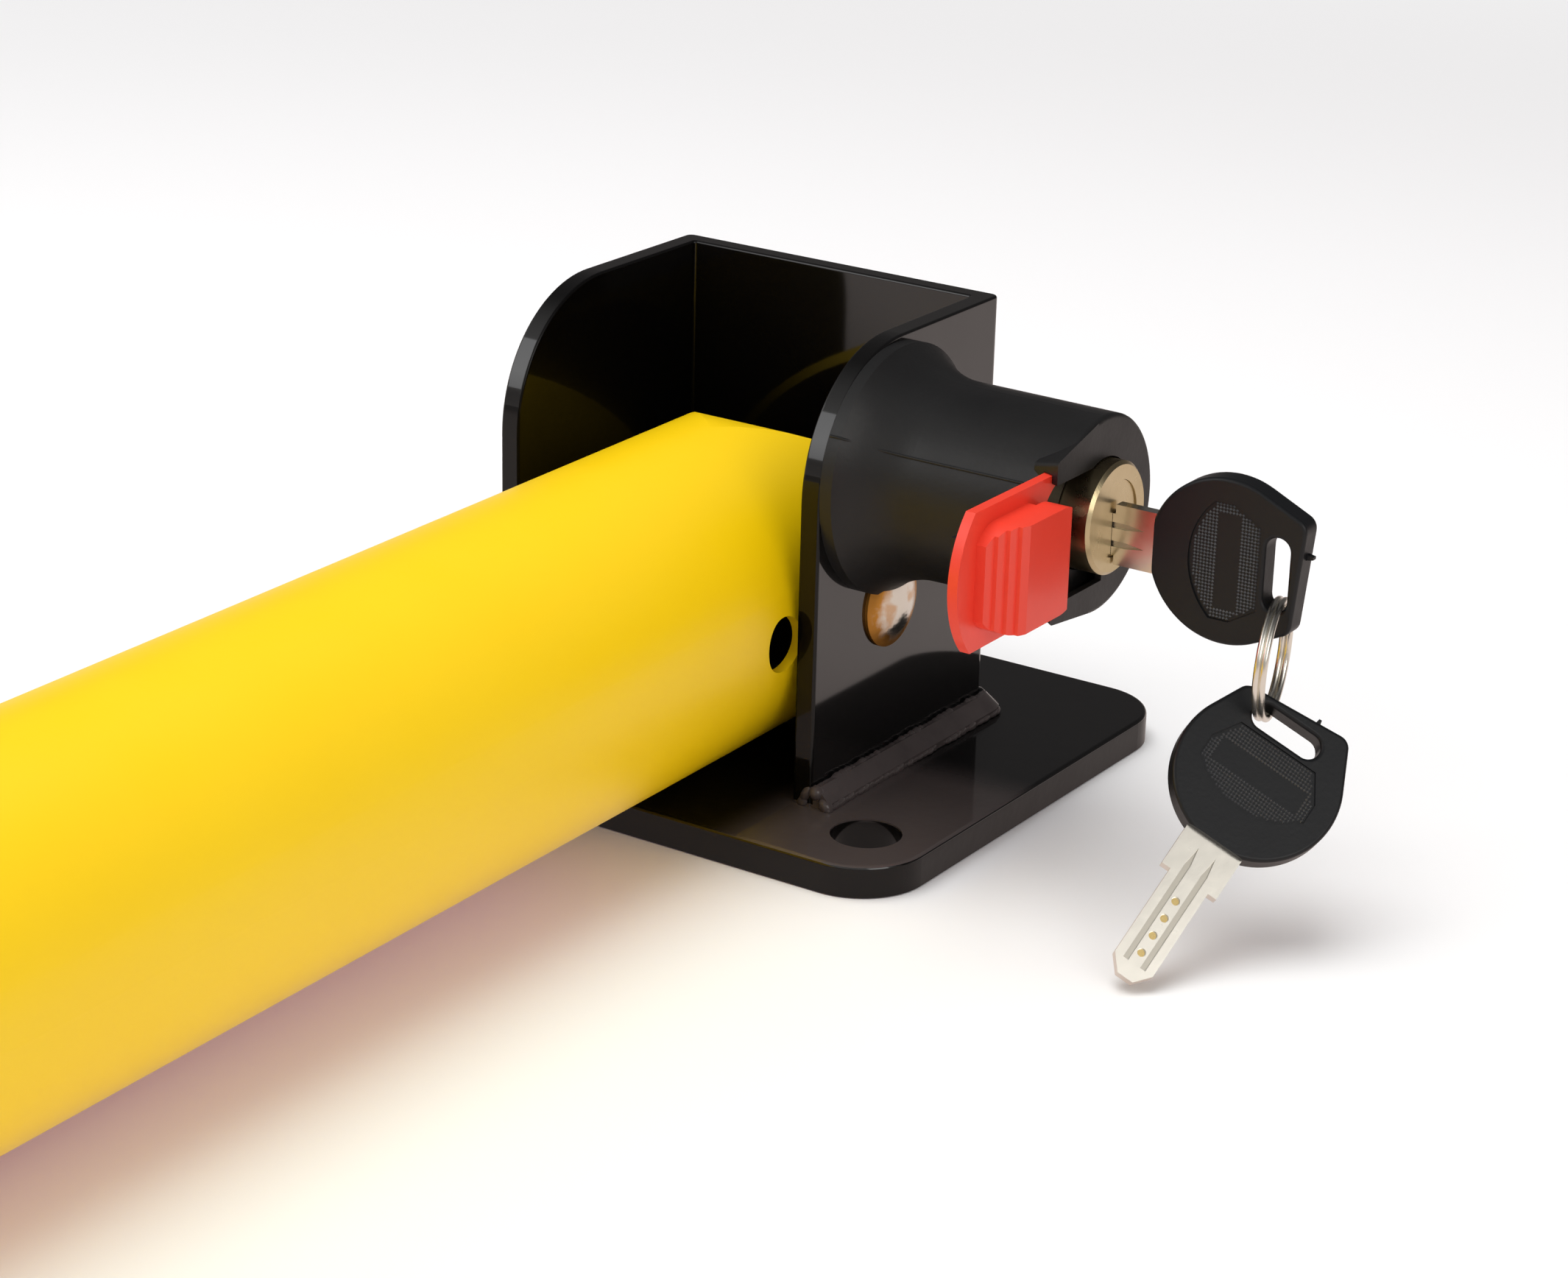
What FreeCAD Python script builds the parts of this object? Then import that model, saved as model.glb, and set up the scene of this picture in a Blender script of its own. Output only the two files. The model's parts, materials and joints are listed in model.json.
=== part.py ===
import FreeCAD, Part
import Sketcher
import math
import os
import re

V = FreeCAD.Vector
doc = FreeCAD.newDocument("folding_parking_post")
sheet = doc.addObject("Spreadsheet::Sheet", "Sizes")

# Driving sizes in millimetres and degrees, each named once
SIZES = [
    ("plate_width", "125.4", "base plate, side to side"),
    ("plate_depth", "105", "base plate, front to back"),
    ("plate_front", "41.9", "lock axis to the front edge of the plate"),
    ("plate_thick", "6", "base plate thickness"),
    ("plate_corner", "13", "corner radius of the plate"),
    ("plate_edge_round", "0.8", "rounding of the plate's top edge"),
    ("anchor_hole", "13", "anchor hole diameter"),
    ("anchor_side", "49.7", "front anchor holes, either side of the middle"),
    ("anchor_front", "26.9", "front anchor holes in front of the lock axis"),
    ("anchor_rear", "51.5", "rear anchor hole behind the lock axis"),
    ("bracket_inside", "62.5", "clear width between the walls"),
    ("wall_thick", "4", "bracket sheet thickness"),
    ("bracket_depth", "59.7", "bracket, front edge to back face"),
    ("bracket_front", "23", "lock axis to the front edge of the walls"),
    ("bracket_height", "82.9", "bracket height above the plate"),
    ("bend_inside", "0.6", "inside radius of the back corners"),
    ("bend_outside", "1.6", "outside radius of the back corners"),
    ("nose_round", "26", "radius of the walls' upper front corners"),
    ("wall_edge", "0.5", "rounding of the walls' sheared edges"),
    ("weld_leg", "4", "leg of the weld round the bracket foot"),
    ("weld_cap", "2.6", "slope cut from the weld's outer edge"),
    ("post_diameter", "60", "post outside diameter"),
    ("post_wall", "2", "post wall thickness"),
    ("post_length", "597", "pivot axis to the end of the tube"),
    ("post_gap", "0.95", "tube above the plate at the pivot"),
    ("post_droop", "0.655", "fall of the folded post, degrees"),
    ("end_setback", "7.3", "centre of the rounded end in front of the pivot"),
    ("cap_rim", "3", "end cap thickness outside the tube"),
    ("cap_spigot", "14", "end cap length inside the tube"),
    ("cap_round", "2", "rounding of the end cap"),
    ("pivot_offset", "1.6", "pivot above the tube's middle, and behind the lock axis"),
    ("pivot_diameter", "8", "pivot bolt diameter"),
    ("pivot_clear", "0.06", "radial clearance of the pivot"),
    ("sleeve_diameter", "14", "outside diameter of the cross sleeve"),
    ("sleeve_side_clear", "0.2", "sleeve to wall, each side"),
    ("pivot_head_radius", "8.4", "pivot head radius"),
    ("pivot_head_height", "2.8", "pivot head height"),
    ("pivot_dome", "17", "radius of the dome of the pivot head"),
    ("washer_radius", "8.5", "washer radius"),
    ("washer_thick", "1.6", "washer thickness"),
    ("nut_across", "15", "nut, corner to corner"),
    ("nut_height", "6.5", "hexagon height of the nut"),
    ("nut_collar", "2.2", "collar of the locking nut"),
    ("bolt_overrun", "1.5", "bolt end past the nut"),
    ("lock_rise", "26.3", "lock axis above the pivot, and post hole from the pivot"),
    ("post_hole", "10.4", "lock hole in the post, diameter"),
    ("tube_radius", "13.6", "lock tube outside radius"),
    ("tube_length", "35.5", "lock tube length from the wall"),
    ("cover_fit", "0.05", "cover on the tube, radial"),
    ("cover_rim_radius", "23.1", "radius of the cover at the wall"),
    ("cover_rim_width", "2.4", "straight rim of the cover"),
    ("flare_length", "12", "length of the flare"),
    ("cover_radius", "18.2", "cover radius past the flare"),
    ("cover_taper", "0.2", "cover radius lost toward its end"),
    ("cover_length", "43.75", "cover length from the wall"),
    ("cover_edge_round", "0.9", "rounding of the cover's end"),
    ("mouth_clear", "0.3", "cover mouth round the barrel"),
    ("head_relief", "0.5", "cover clear of the pivot head"),
    ("barrel_radius", "10.2", "lock barrel radius"),
    ("barrel_fit", "0.06", "barrel in its tube, radial"),
    ("barrel_length", "25", "lock barrel length"),
    ("barrel_proud", "3", "barrel face past the cover"),
    ("barrel_edge", "0.6", "chamfer of the barrel face"),
    ("barrel_floor", "3", "rear wall of the barrel"),
    ("core_travel", "17", "how far the core is pushed in"),
    ("plug_radius", "6.9", "plug radius"),
    ("plug_fit", "0.05", "plug in the barrel, radial"),
    ("plug_length", "20.5", "plug length"),
    ("plug_recess", "0.3", "plug face behind the barrel face"),
    ("plug_groove", "0.9", "depth of the plug's retaining groove"),
    ("pin_radius", "1.1", "lock pin radius"),
    ("pin_fit", "0.05", "lock pin in its chamber, radial"),
    ("pin_pitch", "3.4", "distance between lock pins"),
    ("pin_first", "2.9", "barrel face to the first pin"),
    ("lock_bolt_radius", "4", "locking bolt radius"),
    ("lock_bolt_length", "21.4", "locking bolt length past the barrel"),
    ("lock_stub_radius", "3", "locking bolt end in the barrel"),
    ("lock_bolt_clear", "0.2", "locking bolt in the wall, radial"),
    ("stop_radius", "2", "stop screw radius"),
    ("stop_from_wall", "25", "stop screw, distance from the wall"),
    ("stop_depth", "1.6", "depth of the stop groove in the barrel"),
    ("stop_clear", "0.1", "stop screw in its groove, each side"),
    ("latch_radius", "1", "latch pin radius"),
    ("retainer_radius", "1", "plug retaining pin radius"),
    ("spring_wire", "1.4", "spring wire diameter"),
    ("spring_radius", "7.4", "spring mean radius"),
    ("spring_turns", "3", "spring turns"),
    ("slide_half", "12.4", "half the height of the dust slide"),
    ("slide_thick", "1.9", "slide base thickness"),
    ("slide_clear", "0.1", "slide in its guide, front and back"),
    ("slide_side_clear", "0.2", "slide in its guide, top and bottom"),
    ("slide_sink", "3.3", "slide's inner face below the cover's end"),
    ("slide_end_radius", "18", "radius of the slide's ends"),
    ("slide_outer", "46", "lock axis to the outer end of the open slide"),
    ("slide_inner", "19.8", "lock axis to the middle of the open slide's inner end"),
    ("slide_drop", "1.4", "slide's middle below the lock axis"),
    ("slide_prong", "14.5", "lock axis to the tips of the slide's prongs"),
    ("slide_bay", "10.5", "radius of the bay between the prongs"),
    ("slide_travel", "24", "how far the slide closes"),
    ("guide_reach", "16.6", "lock axis to the outer end of the guide"),
    ("guide_top", "13.6", "top of the guide above the lock axis"),
    ("guide_low", "15.8", "foot of the guide below the lock axis"),
    ("guide_lip", "1.3", "thickness of the guide lips"),
    ("guide_cover", "1.6", "how far the lips cover the slide's edges"),
    ("guide_floor", "2.4", "floor under the slide"),
    ("guide_slope", "20", "slope of the guide toward the wall, degrees"),
    ("arm_reach", "38", "lock axis to the end of the arm behind the open slide"),
    ("arm_half", "6", "half the height of the arm"),
    ("arm_thick", "4.4", "thickness of the arm"),
    ("rib_half", "3.1", "half the height of the rib's head"),
    ("rib_neck", "1.5", "half the height of the rib's neck"),
    ("rib_head_deep", "1.2", "thickness of the rib's head"),
    ("rib_deep", "2.6", "rib, slide's back to its end"),
    ("rib_outer", "38.2", "lock axis to the outer end of the rib"),
    ("rib_inner", "24.5", "lock axis to the inner end of the rib"),
    ("grip_half", "9.6", "half the height of the thumb grip"),
    ("grip_inner", "16.5", "lock axis to the inner end of the grip"),
    ("grip_length", "24", "length of the thumb grip"),
    ("grip_rise", "1.3", "height of one step of the grip"),
    ("grip_run", "1.7", "length of one step of the grip"),
    ("key_drop", "2.6", "key's middle below the lock axis"),
    ("key_thick", "2.2", "key blade thickness"),
    ("key_half", "3.8", "half the width of the key blade"),
    ("key_depth", "20", "key blade length in the plug"),
    ("key_tip_run", "2.8", "length of the blade's tapered tip"),
    ("key_tip_half", "1.5", "half the width of the tip"),
    ("key_neck", "8.5", "blade shoulders to the bow"),
    ("key_neck_half", "5.5", "half the width of the shoulders"),
    ("key_tang", "8", "blade inside the bow"),
    ("key_fit", "0.1", "key in the keyway, each side"),
    ("key_groove_wide", "1.1", "width of a blade groove"),
    ("key_groove_deep", "0.45", "depth of a blade groove"),
    ("key_groove_apart", "1.7", "grooves, either side of the blade's middle"),
    ("dimple_radius", "0.75", "radius of a blade dimple"),
    ("dimple_pitch", "3.6", "distance between dimples"),
    ("bow_thick", "4.6", "bow thickness"),
    ("bow_radius", "14.9", "bow radius"),
    ("bow_centre", "13.9", "bow centre from its flat edge"),
    ("bow_spread", "65", "angle where the bow's straight sides start"),
    ("bow_top_reach", "28.8", "flat edge to the bow's upper corner"),
    ("bow_low_reach", "26.9", "flat edge to the bow's lower corner"),
    ("bow_corner", "2.4", "rounding of the bow's outer corners"),
    ("bow_edge", "0.65", "rounding of the bow's faces"),
    ("slot_at", "23.6", "flat edge to the middle of the slot"),
    ("slot_half", "2.3", "half the width of the slot"),
    ("slot_top", "6.3", "slot above the key's middle"),
    ("slot_low", "7", "slot below the key's middle"),
    ("panel_start", "6.8", "flat edge to the sunk panel"),
    ("panel_length", "13.5", "length of the sunk panel"),
    ("panel_radius", "14.5", "radius of the panel's inner end"),
    ("panel_half", "10.6", "half the height of the sunk panel"),
    ("panel_deep", "0.35", "depth of the sunk panel"),
    ("nub_at", "3.5", "moulding nub above the key's middle"),
    ("nub_out", "2.2", "reach of the moulding nub"),
    ("ring_radius", "10.3", "key ring mean radius"),
    ("ring_wire", "1.2", "key ring wire diameter"),
    ("ring_pitch", "1.12", "distance between the ring's turns"),
    ("ring_hang", "3.95", "rim's middle to the wire above it"),
    ("rim_half", "2.5", "half the height of the rim the ring hangs on"),
    ("ring_turn", "14.42", "key ring turned about the vertical, degrees"),
    ("ring_lean", "7.32", "key ring leaning forward, degrees"),
    ("hook_turn", "17.99", "place of the spare key on the ring, degrees"),
    ("spare_yaw", "79.98", "spare key heading, degrees"),
    ("spare_pitch", "-38.41", "spare key slope, degrees"),
    ("spare_roll", "128.29", "spare key roll, degrees"),
    ("spare_slip_along", "0.19", "wire off the middle of the spare key's slot"),
    ("spare_slip_across", "0.5", "wire clear of the end of the spare key's slot"),
]

# Sizes that follow from the driving ones
DERIVED = [
    ("pivot_height", "=plate_thick + post_diameter / 2 + post_gap + pivot_offset"),
    ("lock_height", "=pivot_height + lock_rise"),
    ("wall_face", "=bracket_inside / 2 + wall_thick"),
    ("bracket_back", "=bracket_depth - bracket_front"),
    ("bracket_top", "=plate_thick + bracket_height"),
    ("post_radius", "=post_diameter / 2"),
    ("tube_end", "=wall_face + tube_length"),
    ("cover_end", "=wall_face + cover_length"),
    ("flare_drop", "=cover_rim_radius - cover_radius"),
    ("flare_radius", "=(flare_length ^ 2 + flare_drop ^ 2) / (2 * flare_drop)"),
    ("mouth_radius", "=barrel_radius + mouth_clear"),
    ("barrel_face", "=cover_end + barrel_proud"),
    ("barrel_rear", "=barrel_face - barrel_length"),
    ("slide_floor", "=cover_end - slide_sink"),
    ("slide_face", "=slide_floor + slide_thick"),
    ("slide_outer_centre", "=slide_outer - slide_end_radius"),
    ("slide_outer_side", "=slide_outer_centre + sqrt(slide_end_radius ^ 2 - slide_half ^ 2)"),
    ("slide_top", "=slide_half - slide_drop + slide_side_clear"),
    ("slide_foot", "=slide_half + slide_drop + slide_side_clear"),
    ("bay_centre", "=slide_inner - slide_bay"),
    ("bay_half", "=sqrt(slide_bay ^ 2 - (slide_prong - bay_centre) ^ 2)"),
    ("key_height", "=lock_height - key_drop"),
    ("bow_flat", "=barrel_face + key_neck"),
    ("stop_at", "=wall_face + stop_from_wall"),
    ("pivot_nut_face", "=wall_face + washer_thick"),
    ("pivot_end", "=pivot_nut_face + nut_height + nut_collar + bolt_overrun"),
]

row = 0
for alias, value, note in SIZES:
    row += 1
    sheet.set("A%d" % row, note)
    sheet.set("B%d" % row, value)
    sheet.setAlias("B%d" % row, alias)
for alias, value in DERIVED:
    row += 1
    sheet.set("B%d" % row, value)
    sheet.setAlias("B%d" % row, alias)
doc.recompute()
NAMES = set(entry[0] for entry in SIZES) | set(entry[0] for entry in DERIVED)
WORD = re.compile(r"[a-z]+(?:_[a-z]+)+")


# Ways to read a size and to tie a property to the sheet
def size(text):
    return float(sheet.evalExpression(text))


def bind(thing, prop, text):
    def named(match):
        return "Sizes." + match.group() if match.group() in NAMES else match.group()
    thing.setExpression(prop, WORD.sub(named, text))


TURN = {
    "x": FreeCAD.Rotation(V(0, 1, 0), 90),
    "y": FreeCAD.Rotation(V(1, 0, 0), -90),
    "z": FreeCAD.Rotation(),
}


def put(thing, x, y, z):
    for side, text in (("x", x), ("y", y), ("z", z)):
        if text != "0":
            bind(thing, "Placement.Base." + side, text)


# Plain solids and their joins
def cylinder(name, axis, radius, length, x="0", y="0", z="0"):
    made = doc.addObject("Part::Cylinder", name)
    made.Placement = FreeCAD.Placement(V(), TURN[axis])
    bind(made, "Radius", radius)
    bind(made, "Height", length)
    put(made, x, y, z)
    return made


def block(name, x, y, z, length, width, height):
    made = doc.addObject("Part::Box", name)
    bind(made, "Length", length)
    bind(made, "Width", width)
    bind(made, "Height", height)
    put(made, x, y, z)
    return made


def joined(name, kind, shapes):
    made = doc.addObject(kind, name)
    made.Shapes = shapes
    return made


def gathered(name, pieces):
    made = doc.addObject("Part::Compound", name)
    made.Links = pieces
    return made


def cut(name, base, tools):
    made = doc.addObject("Part::Cut", name)
    made.Base = base
    made.Tool = tools[0] if len(tools) == 1 else joined(name + "_tools", "Part::MultiFuse", tools)
    return made


def ring(name, axis, outer, inner, length, x="0", y="0", z="0"):
    solid = cylinder(name + "_outer", axis, outer, length, x, y, z)
    hole = cylinder(name + "_inner", axis, inner, length, x, y, z)
    return cut(name, solid, [hole])


# Sketched bodies
def body(name, z="0"):
    made = doc.addObject("PartDesign::Body", name)
    put(made, "0", "0", z)
    return made


def sketch(owner, name, plane, offset="0"):
    made = owner.newObject("Sketcher::SketchObject", name)
    support = [f for f in owner.Origin.OriginFeatures if f.Role == plane + "_Plane"][0]
    made.AttachmentSupport = [(support, "")]
    made.MapMode = "FlatFace"
    if offset != "0":
        bind(made, "AttachmentOffset.Base.z", offset)
    return made


def pin_point(sk, geo, pos, x, y):
    for kind, text in (("DistanceX", x), ("DistanceY", y)):
        index = sk.addConstraint(Sketcher.Constraint(kind, -1, 1, geo, pos, size(text)))
        if text != "0":
            bind(sk, "Constraints[%d]" % index, text)


def circle(sk, x, y, radius):
    geo = sk.addGeometry(Part.Circle(V(size(x), size(y), 0), V(0, 0, 1), size(radius)))
    pin_point(sk, geo, 3, x, y)
    index = sk.addConstraint(Sketcher.Constraint("Radius", geo, size(radius)))
    bind(sk, "Constraints[%d]" % index, radius)


def arc_between(a, b, radius, turn, big):
    chord = b - a
    rise = math.sqrt(max(radius ** 2 - chord.Length ** 2 / 4, 0))
    left = V(-chord.y, chord.x, 0) * (1 / chord.Length)
    centre = (a + b) * 0.5 + left * (rise * turn * (-1 if big else 1))
    first, last = (a, b) if turn > 0 else (b, a)
    start = math.atan2(first.y - centre.y, first.x - centre.x)
    stop = math.atan2(last.y - centre.y, last.x - centre.x)
    return Part.ArcOfCircle(Part.Circle(centre, V(0, 0, 1), radius), start, stop)


def loop(sk, corners, arcs=None):
    arcs = arcs or {}
    points = [V(size(x), size(y), 0) for x, y in corners]
    ends = []
    for i, a in enumerate(points):
        b = points[(i + 1) % len(points)]
        if i in arcs:
            radius, turn, big = arcs[i]
            geo = sk.addGeometry(arc_between(a, b, size(radius), turn, big))
            ends.append((geo, 1, 2) if turn > 0 else (geo, 2, 1))
        else:
            geo = sk.addGeometry(Part.LineSegment(a, b))
            ends.append((geo, 1, 2))
    for i, (geo, start, stop) in enumerate(ends):
        after = ends[(i + 1) % len(ends)]
        sk.addConstraint(Sketcher.Constraint("Coincident", geo, stop, after[0], after[1]))
    for i, (geo, start, stop) in enumerate(ends):
        pin_point(sk, geo, start, corners[i][0], corners[i][1])
        if i in arcs:
            index = sk.addConstraint(Sketcher.Constraint("Radius", geo, size(arcs[i][0])))
            bind(sk, "Constraints[%d]" % index, arcs[i][0])


def grow(owner, kind, name, sk, length, both=False, flip=False):
    made = owner.newObject("PartDesign::" + kind, name)
    made.Profile = sk
    bind(made, "Length", length)
    if both:
        made.SideType = "Symmetric"
    made.Reversed = flip
    doc.recompute()
    return made


def spin(owner, name, sk):
    made = owner.newObject("PartDesign::Revolution", name)
    made.Profile = sk
    axis = [f for f in owner.Origin.OriginFeatures if f.Role == "X_Axis"][0]
    made.ReferenceAxis = (axis, [""])
    made.Angle = 360
    doc.recompute()
    return made


def dress(owner, kind, name, amount, wanted):
    base = owner.Tip
    edges = ["Edge%d" % (i + 1) for i, e in enumerate(base.Shape.Edges) if wanted(e)]
    made = owner.newObject("PartDesign::" + kind, name)
    made.Base = (base, edges)
    bind(made, "Radius" if kind == "Fillet" else "Size", amount)
    doc.recompute()
    return made


def near(a, b):
    return abs(a - b) < 0.02


def along(edge, axis):
    box = edge.BoundBox
    spans = {"x": box.XLength, "y": box.YLength, "z": box.ZLength}
    return spans[axis] > 0.05 and all(spans[k] < 0.02 for k in spans if k != axis)


NODES = {}


def keep(name, thing):
    thing.Label = name
    NODES[name] = thing


# Base plate with its anchor holes
plate = body("plate_body")
sk = sketch(plate, "plate_outline", "XY")
half_width = "plate_width / 2"
plate_rear = "plate_depth - plate_front"
loop(sk, [("-" + half_width, "-plate_front"), (half_width, "-plate_front"),
          (half_width, plate_rear), ("-" + half_width, plate_rear)])
grow(plate, "Pad", "plate_pad", sk, "plate_thick")
dress(plate, "Fillet", "plate_corners", "plate_corner", lambda e: along(e, "z"))
dress(plate, "Fillet", "plate_rim", "plate_edge_round",
      lambda e: near(e.BoundBox.ZMin, size("plate_thick")))
sk = sketch(plate, "plate_holes", "XY")
circle(sk, "anchor_side", "-anchor_front", "anchor_hole / 2")
circle(sk, "-anchor_side", "-anchor_front", "anchor_hole / 2")
circle(sk, "0", "anchor_rear", "anchor_hole / 2")
grow(plate, "Pocket", "plate_drill", sk, "plate_thick * 3", both=True)
keep("base_plate", plate)

# Folded bracket: three walls, rounded noses, pivot holes and the hole for the locking bolt
bracket = body("bracket_body")
sk = sketch(bracket, "bracket_profile", "XY", "plate_thick")
inside = "bracket_inside / 2"
back_inside = "bracket_back - wall_thick"
loop(sk, [("-wall_face", "-bracket_front"), ("-" + inside, "-bracket_front"),
          ("-" + inside, back_inside), (inside, back_inside),
          (inside, "-bracket_front"), ("wall_face", "-bracket_front"),
          ("wall_face", "bracket_back"), ("-wall_face", "bracket_back")])
grow(bracket, "Pad", "bracket_pad", sk, "bracket_height")
dress(bracket, "Fillet", "bracket_inner_bends", "bend_inside",
      lambda e: along(e, "z") and near(e.BoundBox.YMin, size(back_inside)))
dress(bracket, "Fillet", "bracket_outer_bends", "bend_outside",
      lambda e: along(e, "z") and near(e.BoundBox.YMin, size("bracket_back")))
dress(bracket, "Fillet", "bracket_noses", "nose_round",
      lambda e: along(e, "x") and near(e.BoundBox.ZMin, size("bracket_top"))
      and near(e.BoundBox.YMin, -size("bracket_front")))
dress(bracket, "Fillet", "bracket_edges", "wall_edge",
      lambda e: e.BoundBox.ZMax > size("plate_thick") + 1
      and not (along(e, "x") and e.BoundBox.XLength < size("wall_thick") + 0.1)
      and not (along(e, "z") and not near(e.BoundBox.YMin, -size("bracket_front"))))
sk = sketch(bracket, "pivot_holes", "YZ")
circle(sk, "pivot_offset", "pivot_height", "pivot_diameter / 2 + pivot_clear")
grow(bracket, "Pocket", "pivot_drill", sk, "bracket_inside * 2", both=True)
sk = sketch(bracket, "lock_hole", "YZ")
circle(sk, "0", "lock_height", "lock_bolt_radius + lock_bolt_clear")
grow(bracket, "Pocket", "lock_drill", sk, "bracket_inside", flip=True)
keep("bracket", bracket)

# Weld round the outside of the bracket's foot
weld = body("weld_body")
sk = sketch(weld, "weld_profile", "XY", "plate_thick")
weld_side = "wall_face + weld_leg"
weld_back = "bracket_back + weld_leg"
loop(sk, [("-(" + weld_side + ")", "-bracket_front"), ("-wall_face", "-bracket_front"),
          ("-wall_face", "bracket_back"), ("wall_face", "bracket_back"),
          ("wall_face", "-bracket_front"), (weld_side, "-bracket_front"),
          (weld_side, weld_back), ("-(" + weld_side + ")", weld_back)])
grow(weld, "Pad", "weld_pad", sk, "weld_leg")
dress(weld, "Fillet", "weld_inner_bends", "bend_outside",
      lambda e: along(e, "z") and near(e.BoundBox.YMin, size("bracket_back")))
dress(weld, "Fillet", "weld_outer_bends", "bend_outside + weld_leg",
      lambda e: along(e, "z") and near(e.BoundBox.YMin, size(weld_back)))
dress(weld, "Chamfer", "weld_slope", "weld_cap",
      lambda e: near(e.BoundBox.ZMin, size("plate_thick + weld_leg"))
      and (near(abs(e.CenterOfMass.x), size(weld_side)) or near(e.CenterOfMass.y, size(weld_back))
           or (e.BoundBox.XLength > 1 and e.BoundBox.YLength > 1
               and near(e.Curve.Radius, size("bend_outside + weld_leg")))))
keep("weld_bead", weld)

# Pivot bolt with a domed head, washer and locking nut
dome_centre = "wall_face + pivot_head_height - pivot_dome"
ball = doc.addObject("Part::Sphere", "pivot_ball")
bind(ball, "Radius", "pivot_dome")
put(ball, dome_centre, "pivot_offset", "pivot_height")
drum = cylinder("pivot_drum", "x", "pivot_head_radius", "pivot_head_height",
                "wall_face", "pivot_offset", "pivot_height")
head = doc.addObject("Part::MultiCommon", "pivot_head")
head.Shapes = [ball, drum]
shank = cylinder("pivot_shank", "x", "pivot_diameter / 2", "pivot_end + wall_face",
                 "-pivot_end", "pivot_offset", "pivot_height")
keep("pivot_bolt", joined("pivot_bolt_solid", "Part::MultiFuse", [head, shank]))
keep("pivot_washer", ring("washer_solid", "x", "washer_radius", "pivot_diameter / 2 + pivot_clear",
                          "washer_thick", "-pivot_nut_face", "pivot_offset", "pivot_height"))
hexagon = doc.addObject("Part::Prism", "nut_hexagon")
hexagon.Polygon = 6
hexagon.Placement = FreeCAD.Placement(V(), TURN["x"])
bind(hexagon, "Circumradius", "nut_across / 2")
bind(hexagon, "Height", "nut_height")
put(hexagon, "-(pivot_nut_face + nut_height)", "pivot_offset", "pivot_height")
collar = cylinder("nut_collar_drum", "x", "nut_across * 0.42", "nut_collar",
                  "-(pivot_nut_face + nut_height + nut_collar)", "pivot_offset", "pivot_height")
nut_bore = cylinder("nut_bore", "x", "pivot_diameter / 2", "pivot_end",
                    "-pivot_end", "pivot_offset", "pivot_height")
nut_blank = joined("nut_blank", "Part::MultiFuse", [hexagon, collar])
keep("pivot_nut", cut("nut_solid", nut_blank, [nut_bore]))

# Post: a round tube with a rounded near end, drawn level about the pivot and then let down
post = body("post_body", "pivot_height")
near_reach = "post_radius - end_setback"
sk = sketch(post, "post_section", "XZ", "-(" + near_reach + ")")
tube_mid = "-pivot_offset"
circle(sk, "0", tube_mid, "post_radius")
circle(sk, "0", tube_mid, "post_radius - post_wall")
grow(post, "Pad", "post_pad", sk, "post_length + " + near_reach)
sk = sketch(post, "post_round", "YZ")
past = "post_radius + 6"
loop(sk, [("-end_setback", tube_mid + " - post_radius"), (near_reach, tube_mid),
          ("-end_setback", tube_mid + " + post_radius"), ("-end_setback", past), (past, past),
          (past, "-(" + past + ")"), ("-end_setback", "-(" + past + ")")],
     {0: ("post_radius", 1, False), 1: ("post_radius", 1, False)})
grow(post, "Pocket", "post_nose", sk, "post_diameter * 2", both=True)
sk = sketch(post, "post_sleeve_holes", "YZ")
circle(sk, "0", "0", "sleeve_diameter / 2")
grow(post, "Pocket", "post_sleeve_drill", sk, "post_diameter * 2", both=True)
sk = sketch(post, "post_lock_hole", "YZ")
circle(sk, "-lock_rise", tube_mid, "post_hole / 2")
grow(post, "Pocket", "post_lock_drill", sk, "post_diameter", flip=True)
droop = FreeCAD.Rotation(V(1, 0, 0), size("post_droop"))
pivot_point = V(0, size("pivot_offset"), size("pivot_height"))
post.Placement = FreeCAD.Placement(pivot_point, droop)
keep("post_tube", post)

sleeve_half = "bracket_inside / 2 - sleeve_side_clear"
keep("pivot_sleeve", ring("sleeve_solid", "x", "sleeve_diameter / 2", "pivot_diameter / 2 + pivot_clear",
                          "2 * (" + sleeve_half + ")", "-(" + sleeve_half + ")",
                          "pivot_offset", "pivot_height"))

# End cap pushed into the far end of the post
cap = body("cap_body", "pivot_height")
sk = sketch(cap, "cap_rim_outline", "XZ", "post_length")
circle(sk, "0", tube_mid, "post_radius")
grow(cap, "Pad", "cap_rim_pad", sk, "cap_rim")
dress(cap, "Fillet", "cap_edge", "cap_round",
      lambda e: near(e.BoundBox.YMin, -size("post_length + cap_rim")) and e.BoundBox.XLength > 10)
sk = sketch(cap, "cap_spigot_outline", "XZ", "post_length")
circle(sk, "0", tube_mid, "post_radius - post_wall")
circle(sk, "0", tube_mid, "post_radius - post_wall - cap_rim")
grow(cap, "Pad", "cap_spigot_pad", sk, "cap_spigot", flip=True)
cap.Placement = FreeCAD.Placement(pivot_point, droop)
keep("post_end_cap", cap)

# Lock tube on the right wall, with the holes for the stop screw and the latch
bore = "barrel_radius + barrel_fit"
tube_blank = ring("lock_tube_blank", "x", "tube_radius", bore, "tube_length", "wall_face", "0", "lock_height")
stop_hole = cylinder("stop_hole", "y", "stop_radius", "tube_radius", "stop_at", "0", "lock_height")
latch_x = "barrel_rear + barrel_floor / 2"
latch_hole = cylinder("latch_hole", "z", "latch_radius + pin_fit", "tube_radius * 2",
                      latch_x + " - core_travel", "0", "lock_height - tube_radius * 2")
keep("lock_tube", cut("lock_tube_solid", tube_blank, [stop_hole, latch_hole]))
screw_inner = "barrel_radius - stop_depth + 2 * stop_clear"
screw_length = "tube_radius - 3 * stop_clear - (" + screw_inner + ")"
keep("stop_screw", cylinder("stop_screw_solid", "y", "stop_radius", screw_length, "stop_at", screw_inner,
                            "lock_height"))

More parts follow.
